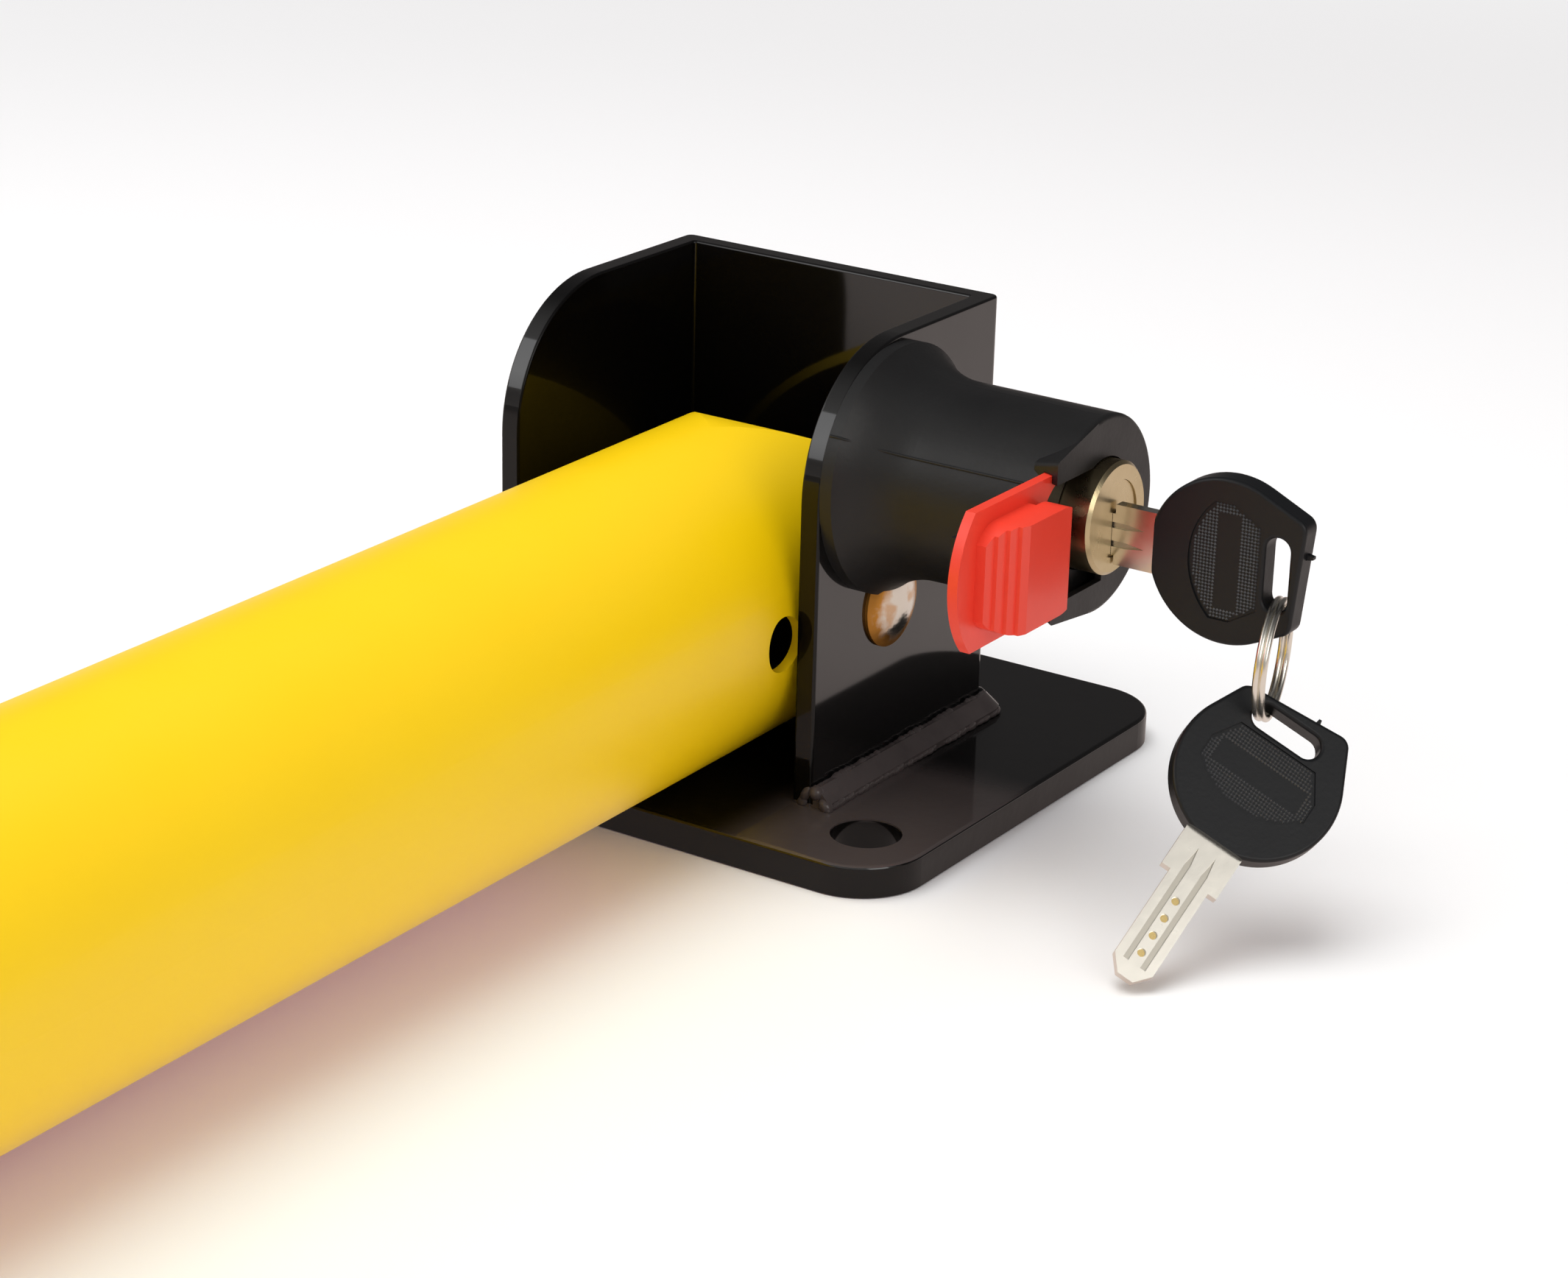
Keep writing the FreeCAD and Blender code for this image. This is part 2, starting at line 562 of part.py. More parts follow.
# Rubber cover: flared body, guide for the slide, relief for the pivot head
cover = body("cover_body", "lock_height")
sk = sketch(cover, "cover_profile", "XZ")
cover_bore = "tube_radius + cover_fit"
flare_start = "wall_face + cover_rim_width"
loop(sk, [("wall_face", cover_bore), ("wall_face", "cover_rim_radius"), (flare_start, "cover_rim_radius"),
          (flare_start + " + flare_length", "cover_radius"), ("cover_end", "cover_radius - cover_taper"),
          ("cover_end", "mouth_radius"), ("tube_end", "mouth_radius"), ("tube_end", cover_bore)],
     {2: ("flare_radius", 1, False)})
spin(cover, "cover_turned", sk)
dress(cover, "Fillet", "cover_end_edge", "cover_edge_round",
      lambda e: near(e.BoundBox.XMin, size("cover_end")) and near(e.BoundBox.XMax, size("cover_end"))
      and near(e.BoundBox.ZMax, size("cover_radius - cover_taper")))
guide_back = "slide_floor - slide_clear - guide_floor"
sk = sketch(cover, "guide_outline", "YZ", "cover_end")
loop(sk, [("-guide_reach", "-guide_low"), ("-3", "-cover_radius + 0.8"),
          ("-3", "cover_radius - 0.8"), ("-guide_reach", "guide_top")])
guide = grow(cover, "Pad", "guide_pad", sk, "cover_end - (" + guide_back + ")", flip=True)
bind(guide, "TaperAngle", "-guide_slope")
doc.recompute()
dress(cover, "Fillet", "guide_corners", "cover_edge_round",
      lambda e: near(e.BoundBox.XMax, size("cover_end")) and e.BoundBox.XLength > 2
      and near(e.BoundBox.YMin, -size("guide_reach")))
arm_face = "slide_floor - slide_clear"
sk = sketch(cover, "arm_outline", "YZ", arm_face + " - arm_thick")
arm_low = "-arm_half - slide_drop"
arm_high = "arm_half - slide_drop"
loop(sk, [("-arm_reach", arm_low), ("-mouth_radius - 4", arm_low),
          ("-mouth_radius - 4", arm_high), ("-arm_reach", arm_high)])
grow(cover, "Pad", "arm_pad", sk, "arm_thick")
sk = sketch(cover, "guide_channel", "YZ", "cover_end - guide_lip")
outside = "-guide_reach - 4"
channel_end = "slide_travel - slide_prong + slide_side_clear"
loop(sk, [(outside, "-slide_foot"), (channel_end, "-slide_foot"), (channel_end, "slide_top"), (outside, "slide_top")])
grow(cover, "Pocket", "guide_channel_cut", sk, "slide_sink + slide_clear - guide_lip")
sk = sketch(cover, "guide_window", "YZ", "cover_end")
window_low = "-slide_foot + guide_cover"
window_high = "slide_top - guide_cover"
loop(sk, [(outside, window_low), ("1", window_low), ("1", window_high), (outside, window_high)])
grow(cover, "Pocket", "guide_window_cut", sk, "slide_sink + slide_clear")
for part, half, top, deep in (("neck", "rib_neck", arm_face, "rib_deep - rib_head_deep"),
                              ("head", "rib_half", arm_face + " - rib_deep + rib_head_deep + 2 * slide_clear",
                               "rib_head_deep + 2 * slide_clear")):
    sk = sketch(cover, "slot_" + part, "YZ", top)
    slot_low = "-(" + half + " + slide_clear) - slide_drop"
    slot_high = half + " + slide_clear - slide_drop"
    loop(sk, [("-arm_reach - 2", slot_low), ("0", slot_low), ("0", slot_high), ("-arm_reach - 2", slot_high)])
    grow(cover, "Pocket", "slot_" + part + "_cut", sk, deep)
sk = sketch(cover, "cover_mouth", "YZ", "tube_end")
circle(sk, "0", "0", "mouth_radius")
grow(cover, "Pocket", "cover_mouth_cut", sk, "cover_length", flip=True)
sk = sketch(cover, "head_pocket", "YZ", "wall_face")
circle(sk, "pivot_offset", "-lock_rise", "pivot_head_radius + head_relief")
grow(cover, "Pocket", "head_pocket_cut", sk, "pivot_head_height + head_relief", flip=True)
keep("lock_cover", cover)

# Lock barrel with its plug bore, stop groove, pin chambers and cross holes
barrel = body("barrel_body", "lock_height")
sk = sketch(barrel, "barrel_profile", "XZ")
plug_bore = "plug_radius + plug_fit"
bore_end = "barrel_rear + barrel_floor"
loop(sk, [("barrel_rear", "lock_stub_radius"), ("barrel_rear", "barrel_radius"),
          ("barrel_face - barrel_edge", "barrel_radius"), ("barrel_face", "barrel_radius - barrel_edge"),
          ("barrel_face", plug_bore), (bore_end, plug_bore), (bore_end, "lock_stub_radius")])
spin(barrel, "barrel_turned", sk)
groove_half = "stop_radius + stop_clear"
stop_groove = block("stop_groove", "stop_at - (" + groove_half + ")", "barrel_radius - stop_depth",
                    "lock_height - (" + groove_half + ")", "core_travel + 2 * (" + groove_half + ")",
                    "stop_depth * 2", "2 * (" + groove_half + ")")
plug_rear = "barrel_face - plug_recess - plug_length"
retainer_x = plug_rear + " + 2.2"
chambers = [stop_groove]
drivers = []
key_pins = []
plug_chambers = []
pin_split = "lock_height + plug_radius"
pin_foot = "key_height + key_half + pin_fit"
for count in range(4):
    at = "barrel_face - pin_first - pin_pitch * %d" % count
    chambers.append(cylinder("driver_chamber_%d" % count, "z", "pin_radius + pin_fit", "plug_radius * 0.33",
                             at, "0", pin_split))
    drivers.append(cylinder("driver_%d" % count, "z", "pin_radius", "plug_radius * 0.33 - 4 * pin_fit",
                            at, "0", pin_split + " + 3 * pin_fit"))
    plug_chambers.append(cylinder("plug_chamber_%d" % count, "z", "pin_radius + pin_fit",
                                  "plug_radius", at, "0", pin_foot + " - 2 * pin_fit"))
    key_pins.append(cylinder("key_pin_%d" % count, "z", "pin_radius",
                             pin_split + " - 3 * pin_fit - (" + pin_foot + ")", at, "0", pin_foot))
retainer_reach = "barrel_radius - 0.2"
retainer_foot = "plug_radius - plug_groove + 0.2"
chambers.append(cylinder("retainer_hole", "z", "retainer_radius", "barrel_radius", retainer_x, "0",
                         "lock_height - barrel_radius"))
chambers.append(cylinder("latch_bore", "z", "latch_radius", "barrel_radius - 4.6", latch_x, "0",
                         "lock_height - barrel_radius"))
chamber_trim = cylinder("plug_bore_trim", "x", plug_bore, "plug_length + 6", plug_rear + " - 0.5",
                        "0", "lock_height")
chambers.append(chamber_trim)
keep("lock_barrel", cut("barrel_solid", barrel, chambers))
keep("driver_pins", gathered("driver_set", drivers))
keep("plug_retainer", cylinder("retainer_solid", "z", "retainer_radius",
                               retainer_reach + " - (" + retainer_foot + ")", retainer_x, "0",
                               "lock_height - (" + retainer_reach + ")"))
keep("latch_pin", cylinder("latch_solid", "z", "latch_radius", "barrel_radius - 4.9", latch_x, "0",
                           "lock_height - barrel_radius + 0.1"))

# Locking bolt screwed into the barrel
lock_bolt = body("lock_bolt_body", "lock_height")
sk = sketch(lock_bolt, "lock_bolt_profile", "XZ")
tip = "barrel_rear - lock_bolt_length"
loop(sk, [(tip, "0"), (tip, "lock_bolt_radius - 0.8"), (tip + " + 0.8", "lock_bolt_radius"),
          ("barrel_rear", "lock_bolt_radius"), ("barrel_rear", "lock_stub_radius"),
          (bore_end + " - 0.2", "lock_stub_radius"), (bore_end + " - 0.2", "0")])
spin(lock_bolt, "lock_bolt_turned", sk)
keep("lock_bolt", lock_bolt)

# Return spring between the wall and the barrel
coil = doc.addObject("Part::Helix", "spring_path")
coil.Placement = FreeCAD.Placement(V(), TURN["x"])
coil_run = "barrel_rear - wall_face - spring_wire"
bind(coil, "Radius", "spring_radius")
bind(coil, "Height", coil_run)
bind(coil, "Pitch", "(" + coil_run + ") / spring_turns")
put(coil, "wall_face + spring_wire / 2", "0", "lock_height")
wire = doc.addObject("Part::Circle", "spring_section")
bind(wire, "Radius", "spring_wire / 2")
wire.Placement = FreeCAD.Placement(V(), TURN["y"])
put(wire, "wall_face + spring_wire / 2", "0", "lock_height - spring_radius")
spring = doc.addObject("Part::Sweep", "spring_solid")
spring.Sections = [wire]
spring.Spine = (coil, [])
spring.Solid = True
spring.Frenet = True
keep("core_spring", spring)

# Plug with its keyway, retaining groove and pin chambers
plug_blank = cylinder("plug_blank", "x", "plug_radius", "plug_length", plug_rear, "0", "lock_height")
keyway = block("keyway", plug_rear + " - 1", "-(key_thick / 2 + key_fit)", "key_height - key_half - key_fit",
               "plug_length + 2", "key_thick + 2 * key_fit", "2 * (key_half + key_fit)")
groove_ring = ring("plug_groove_ring", "x", "plug_radius + 1", "plug_radius - plug_groove",
                   "2 * (retainer_radius + stop_clear)", retainer_x + " - retainer_radius - stop_clear",
                   "0", "lock_height")
keep("lock_plug", cut("plug_solid", plug_blank, [keyway, groove_ring] + plug_chambers))
keep("key_pins", gathered("key_pin_set", key_pins))


# One key: a grooved and dimpled blade moulded into a bow
def make_key(prefix, place):
    blade = body(prefix + "_blade_body")
    sk = sketch(blade, prefix + "_blade_outline", "XZ")
    tip_end = "-(key_neck + key_depth)"
    shoulder = tip_end + " + key_tip_run"
    loop(sk, [(tip_end, "-key_tip_half"), (shoulder, "-key_half"), ("-key_neck + 0.3", "-key_half"),
              ("-key_neck + 0.3", "-key_neck_half"), ("0", "-key_neck_half"), ("0", "-key_half"),
              ("key_tang", "-key_half"), ("key_tang", "key_half"), ("0", "key_half"),
              ("0", "key_neck_half"), ("-key_neck + 0.3", "key_neck_half"), ("-key_neck + 0.3", "key_half"),
              (shoulder, "key_half"), (tip_end, "key_tip_half")])
    grow(blade, "Pad", prefix + "_blade_pad", sk, "key_thick", both=True)
    for side, flip in (("key_thick / 2", False), ("-key_thick / 2", True)):
        sk = sketch(blade, prefix + "_blade_grooves", "XZ", side)
        for middle in ("key_groove_apart", "-key_groove_apart"):
            low = middle + " - key_groove_wide / 2"
            high = middle + " + key_groove_wide / 2"
            loop(sk, [(shoulder, low), ("-key_neck * 0.7", low), ("-key_neck * 0.28", middle),
                      ("-key_neck * 0.7", high), (shoulder, high)])
        grow(blade, "Pocket", prefix + "_groove_cut", sk, "key_groove_deep", flip=flip)
        sk = sketch(blade, prefix + "_blade_dimples", "XZ", side)
        for count in range(4):
            circle(sk, "-key_neck - 4 - dimple_pitch * %d" % count, "0", "dimple_radius")
        grow(blade, "Pocket", prefix + "_dimple_cut", sk, "key_groove_deep", flip=flip)
    blade.Placement = place
    keep(prefix + "_blade", blade)

    bow = body(prefix + "_bow_body")
    sk = sketch(bow, prefix + "_bow_outline", "XZ")
    side_x = "bow_centre + bow_radius * cos(bow_spread)"
    side_z = "bow_radius * sin(bow_spread)"
    flat_half = "sqrt(bow_radius ^ 2 - bow_centre ^ 2)"
    top_z = side_z + " - (bow_top_reach - (" + side_x + ")) / tan(bow_spread)"
    low_z = side_z + " - (bow_low_reach - (" + side_x + ")) / tan(bow_spread)"
    loop(sk, [("0", "-" + flat_half), (side_x, "-" + side_z), ("bow_low_reach", "-(" + low_z + ")"),
              ("bow_top_reach", top_z), (side_x, side_z), ("0", flat_half)],
         {0: ("bow_radius", 1, False), 4: ("bow_radius", 1, False)})
    grow(bow, "Pad", prefix + "_bow_pad", sk, "bow_thick", both=True)
    dress(bow, "Fillet", prefix + "_bow_corners", "bow_corner",
          lambda e: along(e, "y") and e.BoundBox.XMin > size("bow_low_reach") - 0.1)
    sk = sketch(bow, prefix + "_bow_slot", "XZ")
    left = "slot_at - slot_half"
    right = "slot_at + slot_half"
    loop(sk, [(left, "-slot_low + slot_half"), ("slot_at", "-slot_low"), (right, "-slot_low + slot_half"),
              (right, "slot_top - slot_half"), ("slot_at", "slot_top"), (left, "slot_top - slot_half")],
         {k: ("slot_half", 1, False) for k in (0, 1, 3, 4)})
    grow(bow, "Pocket", prefix + "_slot_cut", sk, "bow_thick * 2", both=True)
    dress(bow, "Fillet", prefix + "_bow_edges", "bow_edge",
          lambda e: near(abs(e.CenterOfMass.y), size("bow_thick / 2")) and not along(e, "y")
          and not (near(e.BoundBox.XMin, 0) and near(e.BoundBox.XMax, 0)))
    for side, flip in (("bow_thick / 2", False), ("-bow_thick / 2", True)):
        sk = sketch(bow, prefix + "_panel", "XZ", side)
        stop = "panel_start + panel_length"
        turn_x = "panel_start + panel_radius - sqrt(panel_radius ^ 2 - panel_half ^ 2)"
        loop(sk, [(turn_x, "-panel_half"), (stop + " - 5", "-panel_half"), (stop, "-panel_half + 3"),
                  (stop, "panel_half - 3"), (stop + " - 5", "panel_half"), (turn_x, "panel_half")],
             {5: ("panel_radius", 1, False)})
        grow(bow, "Pocket", prefix + "_panel_cut", sk, "panel_deep", flip=flip)
    sk = sketch(bow, prefix + "_nub", "XZ")
    nub_x = "bow_low_reach + 0.4"
    loop(sk, [(nub_x, "nub_at - 0.7"), (nub_x + " + nub_out", "nub_at - 0.25"),
              (nub_x + " + nub_out", "nub_at + 0.25"), (nub_x, "nub_at + 0.7")])
    grow(bow, "Pad", prefix + "_nub_pad", sk, "1.1", both=True)
    sk = sketch(bow, prefix + "_tang_pocket", "XZ")
    loop(sk, [("-1", "-key_half"), ("key_tang", "-key_half"), ("key_tang", "key_half"), ("-1", "key_half")])
    grow(bow, "Pocket", prefix + "_tang_cut", sk, "key_thick", both=True)
    bow.Placement = place
    keep(prefix + "_bow", bow)


make_key("key", FreeCAD.Placement(V(size("bow_flat"), 0, size("key_height")), FreeCAD.Rotation()))

# Key ring: two turns of wire through the slot, turned and leaning
rim = V(size("bow_flat + slot_at"), 0, size("key_height - slot_low - rim_half"))
hang = FreeCAD.Rotation(V(1, 0, 0), -size("ring_lean"))
ring_turned = hang.multiply(FreeCAD.Rotation(V(0, 0, 1), size("ring_turn")))
ring_centre = rim + hang.multVec(V(0, 0, -size("ring_radius - ring_hang")))
turns = []
for count, side in enumerate((-0.5, 0.5)):
    made = doc.addObject("Part::Torus", "ring_turn_%d" % count)
    bind(made, "Radius1", "ring_radius")
    bind(made, "Radius2", "ring_wire / 2")
    shift = ring_turned.multVec(V(side * size("ring_pitch"), 0, 0))
    made.Placement = FreeCAD.Placement(ring_centre + shift, ring_turned.multiply(TURN["x"]))
    turns.append(made)
keep("key_ring", joined("key_ring_solid", "Part::MultiFuse", turns))

# Spare key hooked on the front of the ring, its tip on the ground
hook_angle = math.radians(size("hook_turn"))
reach = size("ring_radius")
hook = ring_centre + ring_turned.multVec(V(0, -math.sin(hook_angle) * reach, -math.cos(hook_angle) * reach))
heading = FreeCAD.Rotation(size("spare_yaw"), size("spare_pitch"), size("spare_roll"))
held = V(size("slot_at + spare_slip_along"), 0, size("ring_hang - rim_half - slot_low + spare_slip_across"))
make_key("spare_key", FreeCAD.Placement(hook - heading.multVec(held), heading))

# Dust slide: a thin base with round ends and a stepped thumb grip
slide_height = "lock_height - slide_drop"
slide = body("slide_body", slide_height)
sk = sketch(slide, "slide_outline", "YZ", "slide_floor")
loop(sk, [("-slide_outer_side", "slide_half"), ("-slide_outer_side", "-slide_half"),
          ("-slide_prong", "-slide_half"), ("-slide_prong", "slide_drop - bay_half"),
          ("-slide_prong", "slide_drop + bay_half"), ("-slide_prong", "slide_half")],
     {0: ("slide_end_radius", 1, False), 3: ("slide_bay", -1, False)})
grow(slide, "Pad", "slide_pad", sk, "slide_thick")
for part, half, deep, thick in (("neck", "rib_neck", "rib_deep", "rib_deep"),
                                ("head", "rib_half", "rib_deep", "rib_head_deep")):
    sk = sketch(slide, "rib_" + part, "YZ", "slide_floor - " + deep)
    loop(sk, [("-rib_outer", "-" + half), ("-rib_inner", "-" + half), ("-rib_inner", half), ("-rib_outer", half)])
    grow(slide, "Pad", "rib_" + part + "_pad", sk, thick)
grip = body("grip_body", slide_height)
sk = sketch(grip, "grip_profile", "XY")
grip_start = "-(grip_inner + grip_length)"
steps = [("slide_face - 0.5", grip_start)]
for count in range(1, 5):
    run = grip_start + " + grip_run * %.2f" % (count - 1)
    steps.append(("cover_end - 0.2 + grip_rise * %.2f" % (count - 0.45), run))
    steps.append(("cover_end - 0.2 + grip_rise * %.2f" % count, run + " + grip_run"))
for count in (3, 2):
    run = "-grip_inner - grip_run * %.2f" % (count - 1)
    steps.append(("cover_end - 0.2 + grip_rise * %.2f" % (count + 1), run))
    steps.append(("cover_end - 0.2 + grip_rise * %.2f" % (count + 0.45), run))
steps.append(("cover_end - 0.2 + grip_rise * 2", "-grip_inner"))
steps.append(("cover_end + slide_side_clear", "-grip_inner"))
steps.append(("cover_end + slide_side_clear", "-slide_inner - 4"))
steps.append(("slide_face - 0.5", "-slide_inner - 4"))
loop(sk, steps)
grow(grip, "Pad", "grip_pad", sk, "grip_half * 2", both=True)
oval = body("oval_body", slide_height)
sk = sketch(oval, "oval_outline", "YZ", "slide_face - 0.5")
grip_end = "-grip_inner"
soft = "grip_half * 0.7"
loop(sk, [(grip_start, soft), (grip_start, "-" + soft), (grip_start + " + 6", "-grip_half"),
          (grip_end + " - 6", "-grip_half"), (grip_end, "-" + soft), (grip_end, soft),
          (grip_end + " - 6", "grip_half"), (grip_start + " + 6", "grip_half")],
     {0: ("grip_half * 2", 1, False), 1: ("grip_half * 0.8", 1, False), 3: ("grip_half * 0.8", 1, False),
      4: ("grip_half * 3", 1, False), 5: ("grip_half * 0.8", 1, False), 7: ("grip_half * 0.8", 1, False)})
grow(oval, "Pad", "oval_pad", sk, "grip_rise * 8")
grip_solid = doc.addObject("Part::MultiCommon", "grip_solid")
grip_solid.Shapes = [grip, oval]
keep("dust_slide", joined("slide_solid", "Part::MultiFuse", [slide, grip_solid]))

# Check every object, then write one file per piece
doc.recompute()
for thing in doc.Objects:
    if "Invalid" in thing.State or "Error" in thing.State:
        raise RuntimeError("%s is %s" % (thing.Name, thing.State))
os.makedirs("parts", exist_ok=True)
for name, thing in NODES.items():
    if thing.Shape.isNull() or not thing.Shape.isValid():
        raise RuntimeError("%s has no sound shape" % name)
    thing.Shape.exportStep("parts/%s.step" % name)
    box = thing.Shape.BoundBox
    print("%-18s solids %d volume %9.1f  x %7.2f %7.2f  y %7.2f %7.2f  z %7.2f %7.2f" % (
        name, len(thing.Shape.Solids), thing.Shape.Volume,
        box.XMin, box.XMax, box.YMin, box.YMax, box.ZMin, box.ZMax))
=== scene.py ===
import bpy
import bmesh
import json
import math
from mathutils import Matrix, Vector


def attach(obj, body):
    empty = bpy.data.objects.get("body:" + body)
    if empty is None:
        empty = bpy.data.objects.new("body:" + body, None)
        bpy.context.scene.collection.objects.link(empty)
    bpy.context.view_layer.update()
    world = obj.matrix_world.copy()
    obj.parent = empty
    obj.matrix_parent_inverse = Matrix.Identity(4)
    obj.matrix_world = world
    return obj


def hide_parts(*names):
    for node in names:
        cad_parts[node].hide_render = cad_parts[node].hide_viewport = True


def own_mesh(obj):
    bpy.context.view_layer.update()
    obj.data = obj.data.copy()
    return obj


MM = 0.001
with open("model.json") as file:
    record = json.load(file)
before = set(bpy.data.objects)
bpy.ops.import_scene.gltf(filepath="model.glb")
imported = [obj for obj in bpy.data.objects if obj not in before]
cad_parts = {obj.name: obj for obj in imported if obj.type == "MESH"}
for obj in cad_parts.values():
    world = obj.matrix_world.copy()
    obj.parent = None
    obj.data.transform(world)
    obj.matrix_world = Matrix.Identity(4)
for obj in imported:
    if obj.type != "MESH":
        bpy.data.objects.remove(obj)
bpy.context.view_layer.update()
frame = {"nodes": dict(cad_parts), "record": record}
nodes = frame["nodes"]

# Sizes of the part in millimetres, as its source has them
WALL_FACE = 35.25
BACK_FACE = 36.7
FRONT_EDGE = -23.0
BEND = 1.6
PLATE_TOP = 6.0
PIVOT_Y, PIVOT_Z = 1.6, 38.55
LOCK_HEIGHT = 64.85


# Shader wiring: a socket that takes part in sums, and a finish built from it
class Wire:
    def __init__(self, finish, socket):
        self.finish = finish
        self.socket = socket

    def sum(self, operation, first, second):
        return self.finish.node("ShaderNodeMath", {"operation": operation}, {0: first, 1: second})

    def __add__(self, other):
        return self.sum("ADD", self, other)

    def __radd__(self, other):
        return self.sum("ADD", other, self)

    def __sub__(self, other):
        return self.sum("SUBTRACT", self, other)

    def __rsub__(self, other):
        return self.sum("SUBTRACT", other, self)

    def __mul__(self, other):
        return self.sum("MULTIPLY", self, other)

    def __rmul__(self, other):
        return self.sum("MULTIPLY", other, self)

    def __pow__(self, other):
        return self.sum("POWER", self, other)

    def __abs__(self):
        return self.sum("ABSOLUTE", self, 0.0)

    def least(self, other):
        return self.sum("MINIMUM", self, other)

    def __lt__(self, other):
        return self.sum("LESS_THAN", self, other)

    def __gt__(self, other):
        return self.sum("GREATER_THAN", self, other)


class Wiring:
    def __init__(self, tree):
        self.tree = tree
        self.tree.nodes.clear()

    def node(self, kind, settings=None, sockets=None, out=0):
        made = self.tree.nodes.new(kind)
        for key, value in (settings or {}).items():
            if key == "stops":
                ramp = made.color_ramp.elements
                while len(ramp) < len(value):
                    ramp.new(0.5)
                for element, (place, colour) in zip(ramp, value):
                    element.position = place
                    element.color = (*colour, 1)
            else:
                setattr(made, key, value)
        for key, value in (sockets or {}).items():
            if isinstance(value, Wire):
                self.tree.links.new(value.socket, made.inputs[key])
            else:
                made.inputs[key].default_value = value
        return Wire(self, made.outputs[out])

    def close(self, kind, wire):
        end = self.tree.nodes.new(kind)
        self.tree.links.new(wire.socket, end.inputs["Surface"])

    def ray(self, kind):
        return self.node("ShaderNodeLightPath", out="Is %s Ray" % kind)

    def place(self):
        return self.node("ShaderNodeTexCoord", out="Object")

    def axis(self, letter):
        return self.node("ShaderNodeSeparateXYZ", {}, {0: self.place()}, out=letter)

    def ramp(self, wire, low, high):
        return self.node("ShaderNodeMapRange", {"interpolation_type": "SMOOTHSTEP"},
                         {0: wire, 1: low, 2: high})

    def between(self, mask, low, high):
        return self.node("ShaderNodeMix", {"data_type": "RGBA"},
                         {0: mask, 6: (*low, 1), 7: (*high, 1)}, out=2)


class Finish(Wiring):
    def __init__(self, name, sockets):
        self.material = bpy.data.materials.new(name)
        self.material.use_nodes = True
        super().__init__(self.material.node_tree)
        self.shader = self.tree.nodes.new("ShaderNodeBsdfPrincipled")
        for socket, value in sockets.items():
            self.shader.inputs[socket].default_value = (*value, 1) if isinstance(value, tuple) else value
        self.close("ShaderNodeOutputMaterial", Wire(self, self.shader.outputs[0]))
        self.material.diffuse_color = (*sockets["Base Color"], 1)

    def feed(self, socket, wire):
        self.tree.links.new(wire.socket, self.shader.inputs[socket])

    def noise(self, scale, detail=3.0, stretch=(1, 1, 1)):
        spread = self.node("ShaderNodeMapping", {"vector_type": "POINT"},
                           {"Vector": self.place(), "Scale": stretch})
        return self.node("ShaderNodeTexNoise", {}, {"Vector": spread, "Scale": scale, "Detail": detail})

    def bump(self, height, strength, distance):
        self.feed("Normal", self.node("ShaderNodeBump", {}, {"Height": height, "Strength": strength,
                                                             "Distance": distance}))


# Limits of the areas in the foot's paint (painted shade between the walls, painted sheen on the weld and
# the plate's front), in metres, each just off the face it follows
INNER_HALF, INNER_BACK, INNER_FLOOR = 0.0316, 0.0329, 0.0058
RIM_TOP, NOSE_FRONT = 0.0054, -0.0224
TOP_LOW, TOP_HIGH = 0.0057, 0.0066
BEAD_LOW, BEAD_HIGH = 0.0062, 0.0112
BEAD_SIDE, BEAD_BACK, BEAD_FRONT = 0.0357, 0.0371, -0.0231


# Gloss black paint of the foot: duller between the walls as painted shade, with a painted brown-grey sheen
# on the weld and the plate's front
def foot_paint():
    paint = Finish("gloss_black_paint", {"Base Color": (0.004, 0.0035, 0.0033), "Roughness": 0.4,
                                         "Specular IOR Level": 0.05, "Coat Weight": 1.0,
                                         "Coat Roughness": 0.06, "Coat IOR": 1.6})
    x, y, z = (paint.axis(letter) for letter in "XYZ")
    side = abs(x)
    # Less coat between the walls as painted shade, kept towards the upper outer corner where light falls
    between_walls = (side < INNER_HALF) * (y < INNER_BACK) * (z > INNER_FLOOR)
    lit_corner = paint.ramp(x * 0.6 + z, 0.045, 0.1)
    ends = ((z < RIM_TOP) + (y < NOSE_FRONT) * (z > TOP_HIGH)).least(1.0)
    paint.feed("Coat Weight", 1.0 - between_walls * (0.9 - lit_corner * 0.9) - ends * 0.6)
    cloud = paint.noise(45.0, 4.0)
    near_front = 1.0 - paint.ramp(y + cloud * 0.008, 0.004, 0.016)
    front = near_front * (z < TOP_HIGH) * (z > TOP_LOW) * paint.ramp(x, 0.024, 0.038)
    bead_sides = ((side > BEAD_SIDE) + (y > BEAD_BACK) + (y < BEAD_FRONT)).least(1.0)
    bead = (z > BEAD_LOW) * (z < BEAD_HIGH) * bead_sides
    # Painted brown-grey sheen on the plate's front and on the weld, standing in for their reflection
    painted_sheen = (front * (0.8 + cloud * 0.35) + bead * (0.55 + paint.noise(160.0, 3.0) * 0.9)).least(1.0)
    paint.feed("Base Color", paint.between(painted_sheen, (0.0016, 0.0014, 0.0013), (0.062, 0.05, 0.048)))
    paint.feed("Roughness", 0.3 + paint.noise(90.0, 3.0) * 0.2)
    paint.bump(paint.noise(70.0, 3.0) + paint.noise(300.0, 2.0) * 0.25, 0.16, 0.0012)
    return paint.material


# Yellow enamel of the post
def post_paint():
    paint = Finish("yellow_post_enamel", {"Base Color": (1.0, 0.655, 0.0), "Roughness": 0.38,
                                          "Specular IOR Level": 0.55})
    drift = paint.noise(22.0, 3.0)
    paint.feed("Base Color", paint.between(drift, (0.98, 0.635, 0.0), (1.0, 0.675, 0.001)))
    paint.feed("Roughness", 0.34 + paint.noise(60.0, 3.0) * 0.12)
    paint.bump(paint.noise(420.0, 2.0), 0.05, 0.0005)
    return paint.material
